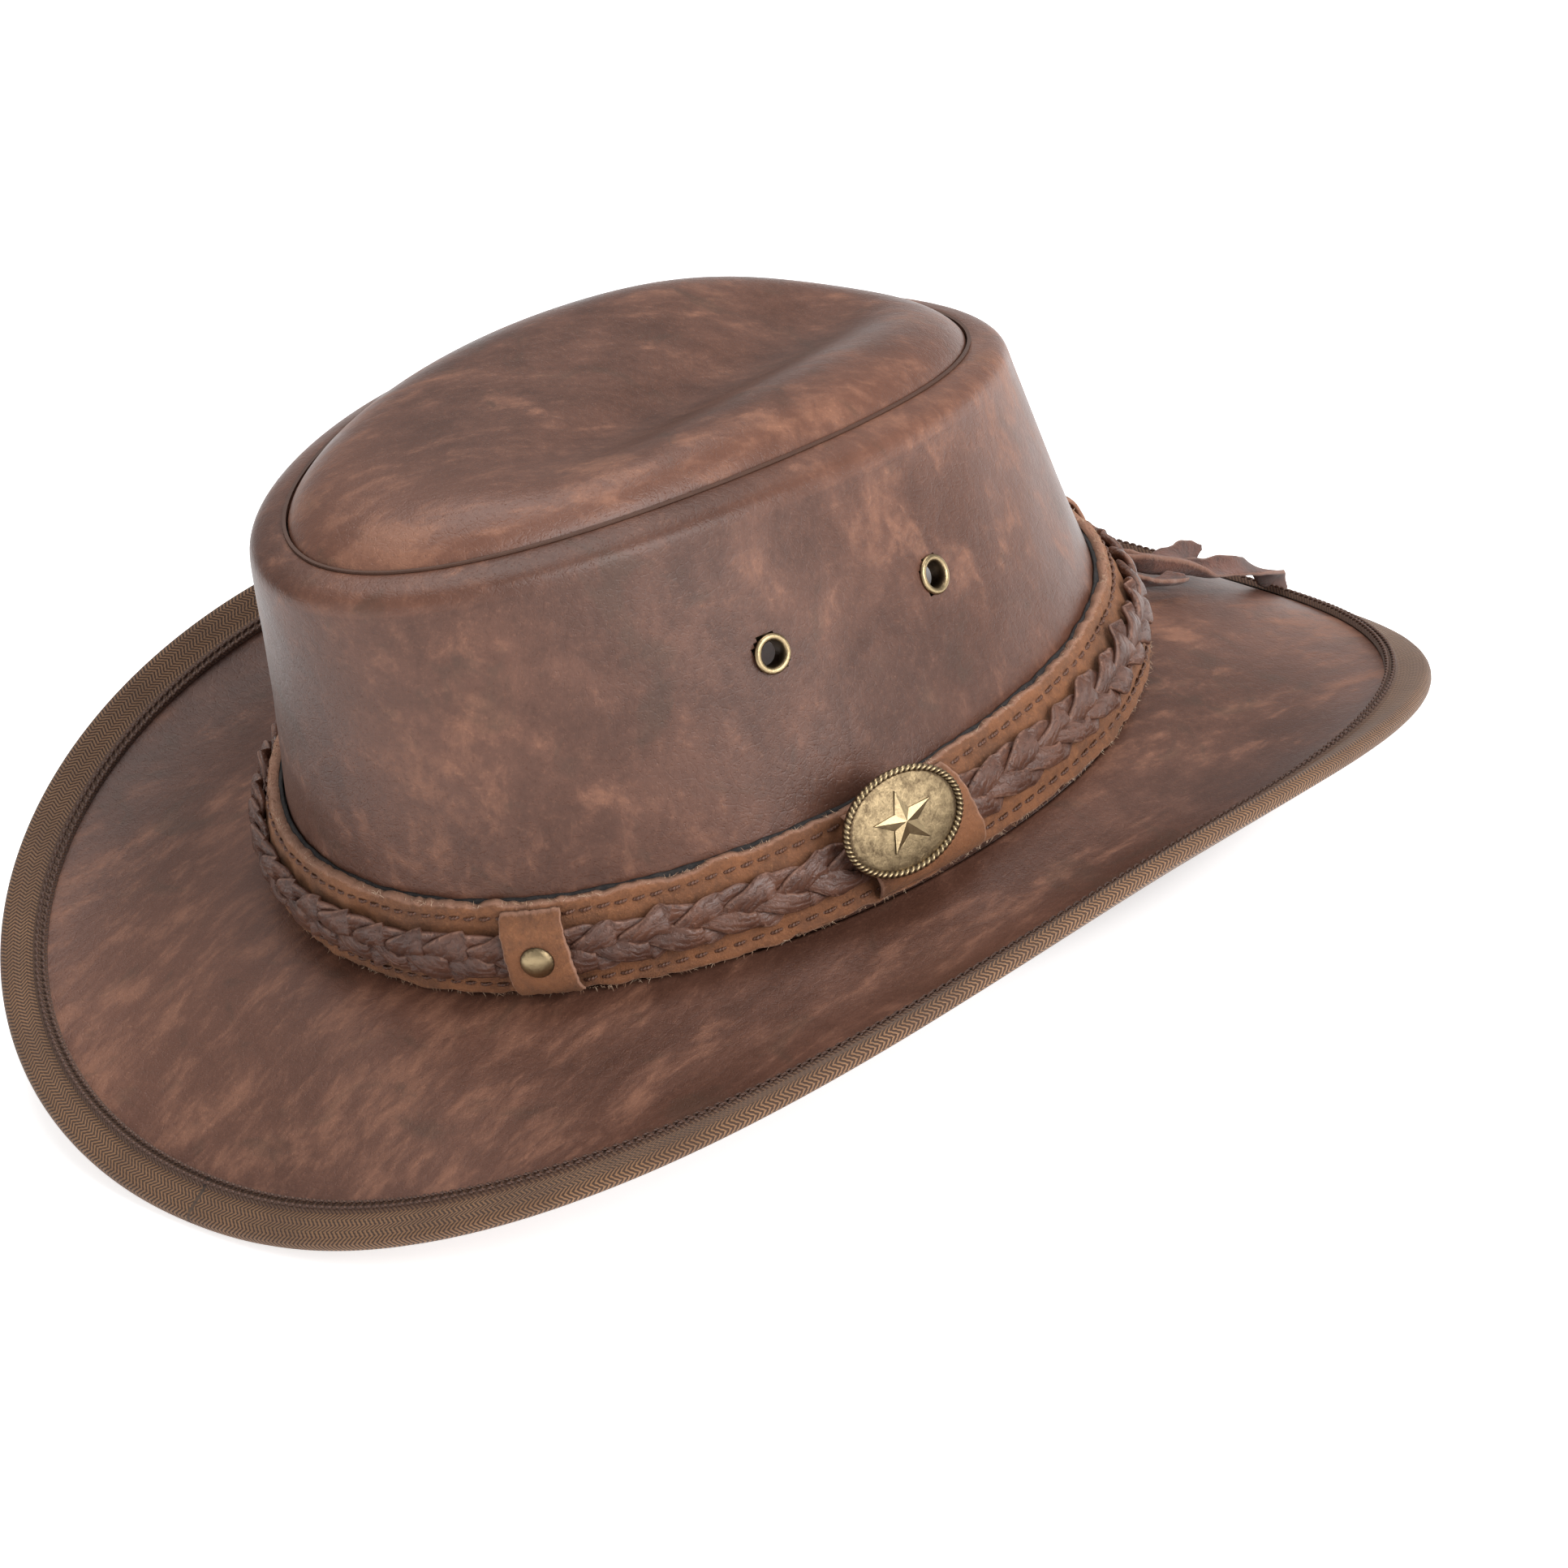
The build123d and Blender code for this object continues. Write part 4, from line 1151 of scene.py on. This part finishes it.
class HAT_OT_badge(HatOperator, Operator):
    """Oval antique brass badge with a rope edge and a plain star"""

    bl_idname = "hat.badge"
    bl_label = "Badge"

    def build(self):
        b = band()
        start = float(strap_face(b.foot + b.height / 2)) + cover_rise() + 1.9 * MM
        at = wall_frame(b.badge_angle, b.badge_height, start)
        self.axes = np.array(at.to_3x3())
        self.origin = np.array(at.translation)
        long_way, short_way = b.badge_long / 2, b.badge_short / 2
        self.plate(long_way, short_way)
        self.rope(long_way, short_way)
        self.star()

    def world(self, x, y, z):
        local = np.stack(np.broadcast_arrays(x, y, z), -1)
        return local @ self.axes.T + self.origin

    def plate(self, long_way, short_way):
        spin = around(120)[:, None]
        radius = np.array([0.001, 0.003, 0.2, 0.4, 0.55, 0.68, 0.78, 0.84, 0.88, 0.92, 0.96, 0.97, 0.97, 0.5, 0.003])
        height = np.array([1.75, 1.75, 1.74, 1.70, 1.64, 1.55, 1.44, 1.36, 1.25, 1.2, 1.1, 0.9, 0.1, 0.0, 0.0]) * MM
        raised = np.array([0.62, 0.62, 0.62, 0.60, 0.58, 0.56, 0.52, 0.5, 0.25, 0.1, 0.1, 0, 0, 0, 0])
        x, y = radius[None] * long_way * np.cos(spin), radius[None] * short_way * np.sin(spin)
        points = self.world(x, y, height[None])
        ring("Badge_Plate", points, finish_of("brass"), "band", ("badge",),
             raised=np.broadcast_to(raised, points.shape[:2]))

    def rope(self, long_way, short_way):
        spin = around(960)[:, None]
        section = around(20)[None]
        twist = 0.5 + 0.5 * np.cos(2 * section - 64 * spin)
        radius = 0.78 * MM * (0.84 + 0.26 * twist)
        inset = 0.80 * MM
        out_x, out_y = np.cos(spin), np.sin(spin)
        x = (long_way - inset) * out_x + radius * np.cos(section) * out_x
        y = (short_way - inset) * out_y + radius * np.cos(section) * out_y
        points = self.world(x, y, inset + 0.55 * MM + radius * np.sin(section))
        ring("Badge_Rope", points, finish_of("brass"), "band", raised=twist * 0.9 + 0.15)

    def star(self):
        corners = []
        for index in range(10):
            reach = (7.2 if index % 2 == 0 else 3.0) * MM
            corner = pi / 2 + index * pi / 5
            corners.append((reach * cos(corner) * 1.12, reach * sin(corner)))
        corners = np.array(corners)
        low = self.world(corners[:, 0], corners[:, 1], 1.45 * MM)
        edge = self.world(corners[:, 0] * 0.97, corners[:, 1] * 0.96, 2.05 * MM)
        peak = self.world(np.zeros(1), np.zeros(1), 2.75 * MM)
        points = np.concatenate([low, edge, peak])
        faces = [[k, (k + 1) % 10, 10 + (k + 1) % 10, 10 + k] for k in range(10)]
        faces += [[10 + k, 10 + (k + 1) % 10, 20] for k in range(10)]
        faces.append(list(range(10))[::-1])
        raised = np.array([0.0] * 10 + [0.75] * 10 + [1.0])
        piece = finish_mesh("Badge_Star", points, faces, {"raised": raised}, finish_of("brass"), "band")
        piece.data.polygons.foreach_set("use_smooth", [False] * len(piece.data.polygons))


class HAT_OT_tails(HatOperator, Operator):
    """Suede tails that hang from the back of the band"""

    bl_idname = "hat.tails"
    bl_label = "Tails"

    PLANS = {
        "long": [(14, 107, 8), (21, 109, 4.5), (27, 112, 3), (30, 118, 2.4), (31, 127, 2.2), (30.5, 136, 4.2),
                 (29, 147, 5.6), (25, 157, 4.4), (22, 165, 2.5)],
        "short": [(9, 108.5, 8), (17, 111, 6), (22, 114, 4.6), (25.5, 119, 4.2), (25, 127, 5.2), (22, 138, 7.6)],
        "stub": [(20, 103, 8), (30, 103, 4), (33, 105, 2.4), (35, 110, 1.7), (34.5, 119, 1.6)],
    }
    TWISTS = {"long": (0.25, 1.1, 2.3), "short": (-0.35, 1.2, 1.4), "stub": (0.1, 0.7, 1.2)}

    def build(self):
        count, columns = 110, 11
        fine = np.linspace(0, 1, count)
        across = np.linspace(-1, 1, columns)
        for seed, (name, plan) in enumerate(self.PLANS.items()):
            plan = np.array(plan, float) * MM
            knots = np.linspace(0, 1, len(plan))
            track = np.stack([self.curve(knots, plan[:, k], fine) for k in range(3)], -1)
            path = self.over_brim(track)
            start, swing, turns = self.TWISTS[name]
            roll = start + swing * np.sin(turns * pi * fine) * np.clip(fine * 2, 0, 1)
            along = unit(np.gradient(path, axis=0))
            up = unit(np.array([0, 0, 1.0]) - along * along[:, 2:])
            side = np.cross(along, up)
            side_way = side * np.cos(roll)[:, None] + up * np.sin(roll)[:, None]
            up_way = up * np.cos(roll)[:, None] - side * np.sin(roll)[:, None]
            ragged = 1 + 0.45 * rough(count, seed + 90, 10)[:, None]
            wide = 2.9 * MM * ragged * np.clip((1.04 - fine[:, None]) * 7, 0.3, 1)
            curl = (0.35 + 0.35 * np.sin(5 * fine + seed))[:, None] * across[None] ** 2 * wide
            middle = path[:, None] + side_way[:, None] * (wide * across[None])[..., None]
            middle = swell(middle, 0.016, 0.3 * MM, seed + 40)
            half = 0.7 * MM * (1 - 0.45 * across[None] ** 6)
            front = middle + up_way[:, None] * (curl + half)[..., None]
            back = middle + up_way[:, None] * (curl - half)[..., None]
            edge = np.broadcast_to(np.abs(across) ** 3, front.shape[:2])
            node = "tail_" + name
            piece = slab("Tail_" + name.title(), front, back, finish_of("suede"), None, (node,), edge=edge)
            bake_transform(piece)

    def curve(self, knots, values, fine):
        """Smooth line through a few values."""
        slopes = np.gradient(values, knots)
        i = np.clip(np.searchsorted(knots, fine) - 1, 0, len(knots) - 2)
        h = knots[i + 1] - knots[i]
        t = (fine - knots[i]) / h
        return (
            (2 * t**3 - 3 * t**2 + 1) * values[i]
            + (t**3 - 2 * t**2 + t) * h * slopes[i]
            + (-2 * t**3 + 3 * t**2) * values[i + 1]
            + (t**3 - t**2) * h * slopes[i + 1]
        )

    def over_brim(self, track):
        """Heights over the back of the brim turned into heights over the table."""
        s = hat()
        share = np.clip((track[:, 1] - 0.1) / (s.edge_length - s.edge_shift - 0.1), 0, 1)
        start = base_line(pi)
        drop = edge_line(pi) - start
        return place(track[:, 0], track[:, 1], start + drop * share**1.5 + track[:, 2])


class HAT_OT_hidden_parts(HatOperator, Operator):
    """Finishes for the parts whose CAD shape is kept"""

    bl_idname = "hat.hidden_parts"
    bl_label = "Hidden parts"

    KEPT = {
        "crown_seam_tape": "lining",
        "crown_seam_thread": "thread",
        "crown_back_tape": "lining",
        "crown_back_stitching": "thread",
        "brim_wire": "steel",
        "wire_sleeve": "brass",
        "badge_post": "brass",
    }

    def build(self):
        for node, key in self.KEPT.items():
            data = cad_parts[node].data
            data.materials.clear()
            data.materials.append(finish_of(key))


# Painted shadow on the floor: a disc under the hat where the floor gives no light, so that the vents stay dark: middle,
# and inner and outer edge
PAINTED_SHADOW_SPOT = (-0.03, 0.05, 0)
PAINTED_SHADOW_EDGE = (0.085, 0.125)
FLOOR_GLOW = 0.66
WORLD_STRENGTH = 0.43
# Name, place, size in metres and power in watts
LAMPS = (
    ("Front", (-0.25, -1.7, 0.8), 0.9, 3),
    ("Left", (1.70, 0.15, 0.90), 1.3, 37),
    ("Top", (-0.25, 0.35, 1.7), 1.3, 18),
)


class HAT_OT_stage(HatOperator, Operator):
    """Pale floor that gives light, with a painted shadow under the hat; soft lights and the camera"""

    bl_idname = "hat.stage"
    bl_label = "Stage"

    def build(self):
        scene = bpy.context.scene
        self.floor(scene)
        world = bpy.data.worlds.new("Studio")
        world.use_nodes = True
        background = world.node_tree.nodes["Background"]
        background.inputs["Color"].default_value = (1, 1, 1, 1)
        background.inputs["Strength"].default_value = WORLD_STRENGTH
        scene.world = world
        scene.view_settings.view_transform = "Standard"
        for lamp in LAMPS:
            self.light(*lamp)
        self.camera(scene)

    def floor(self, scene):
        mesh = bpy.data.meshes.new("Floor")
        size = 6.0
        corners = [(-size, -size, 0), (size, -size, 0), (size, size, 0), (-size, size, 0)]
        mesh.from_pydata(corners, [], [(0, 1, 2, 3)])
        f = Finish("Floor_Paint", Roughness=0.9)
        values = {0: f.place(), 1: PAINTED_SHADOW_SPOT}
        away = f.node("ShaderNodeVectorMath", {"operation": "DISTANCE"}, values, "Value")
        # Painted shadow: the floor's emission colour is black inside a disc under the hat and evenly white outside it
        glow_with_painted_shadow = f.mix(away.step(*PAINTED_SHADOW_EDGE), (0, 0, 0), (1, 1, 1))
        f.paint(Base_Color=(0.9, 0.9, 0.9), Emission_Color=glow_with_painted_shadow, Emission_Strength=FLOOR_GLOW)
        mesh.materials.append(f.material)
        piece = bpy.data.objects.new("Floor", mesh)
        piece.location.z = -0.0005
        scene.collection.objects.link(piece)

    def light(self, name, spot, size, power):
        data = bpy.data.lights.new(name, "AREA")
        data.size = size
        data.energy = power
        lamp = bpy.data.objects.new(name, data)
        lamp.location = spot
        lamp.rotation_euler = (Vector((0, 0, 0.06)) - Vector(spot)).to_track_quat("-Z", "Y").to_euler()
        bpy.context.scene.collection.objects.link(lamp)

    def camera(self, scene):
        s = scene.hat_stage
        level = cos(s.elevation)
        back = Vector((sin(s.azimuth) * level, -cos(s.azimuth) * level, sin(s.elevation)))
        side = Vector((cos(s.azimuth), sin(s.azimuth), 0))
        above = back.cross(side)
        middle = Vector((0, hat().edge_shift - hat().crown_shift, hat().crown_base + 0.045))
        aim = middle + side * s.right + above * s.up
        right = side * cos(s.roll) + above * sin(s.roll)
        up = above * cos(s.roll) - side * sin(s.roll)
        data = bpy.data.cameras.new("Camera")
        data.lens = s.lens
        data.sensor_width = 36
        view = bpy.data.objects.new("Camera", data)
        spot = aim + back * s.distance
        rows = [(right[i], up[i], back[i], spot[i]) for i in range(3)]
        view.matrix_world = Matrix((*rows, (0, 0, 0, 1)))
        scene.collection.objects.link(view)
        scene.camera = view


class HAT_PT_panel(Panel):
    """Buttons for the hat's pieces"""

    bl_label = "Leather hat"
    bl_idname = "HAT_PT_panel"
    bl_space_type = "VIEW_3D"
    bl_region_type = "UI"
    bl_category = "Hat"

    def draw(self, context):
        for operator in OPERATORS:
            self.layout.operator(operator.bl_idname)


OPERATORS = (
    HAT_OT_crown_side,
    HAT_OT_crown_tip,
    HAT_OT_brim,
    HAT_OT_binding,
    HAT_OT_sweatband,
    HAT_OT_vents,
    HAT_OT_strap,
    HAT_OT_braid,
    HAT_OT_keepers,
    HAT_OT_badge,
    HAT_OT_tails,
    HAT_OT_hidden_parts,
    HAT_OT_stage,
)
GROUPS = {"hat_sizes": HatSizes, "hat_band": BandSizes, "hat_colours": HatColours, "hat_stage": StageSettings}


def register():
    for group in GROUPS.values():
        bpy.utils.register_class(group)
    for name, group in GROUPS.items():
        setattr(bpy.types.Scene, name, PointerProperty(type=group))
    for operator in OPERATORS:
        bpy.utils.register_class(operator)
    bpy.utils.register_class(HAT_PT_panel)


def unregister():
    bpy.utils.unregister_class(HAT_PT_panel)
    for operator in reversed(OPERATORS):
        bpy.utils.unregister_class(operator)
    for name in GROUPS:
        delattr(bpy.types.Scene, name)
    for group in reversed(list(GROUPS.values())):
        bpy.utils.unregister_class(group)


def main():
    register()
    for operator in OPERATORS:
        family, name = operator.bl_idname.split(".")
        getattr(getattr(bpy.ops, family), name)()
    bpy.context.view_layer.update()


if __name__ == "__main__":
    main()
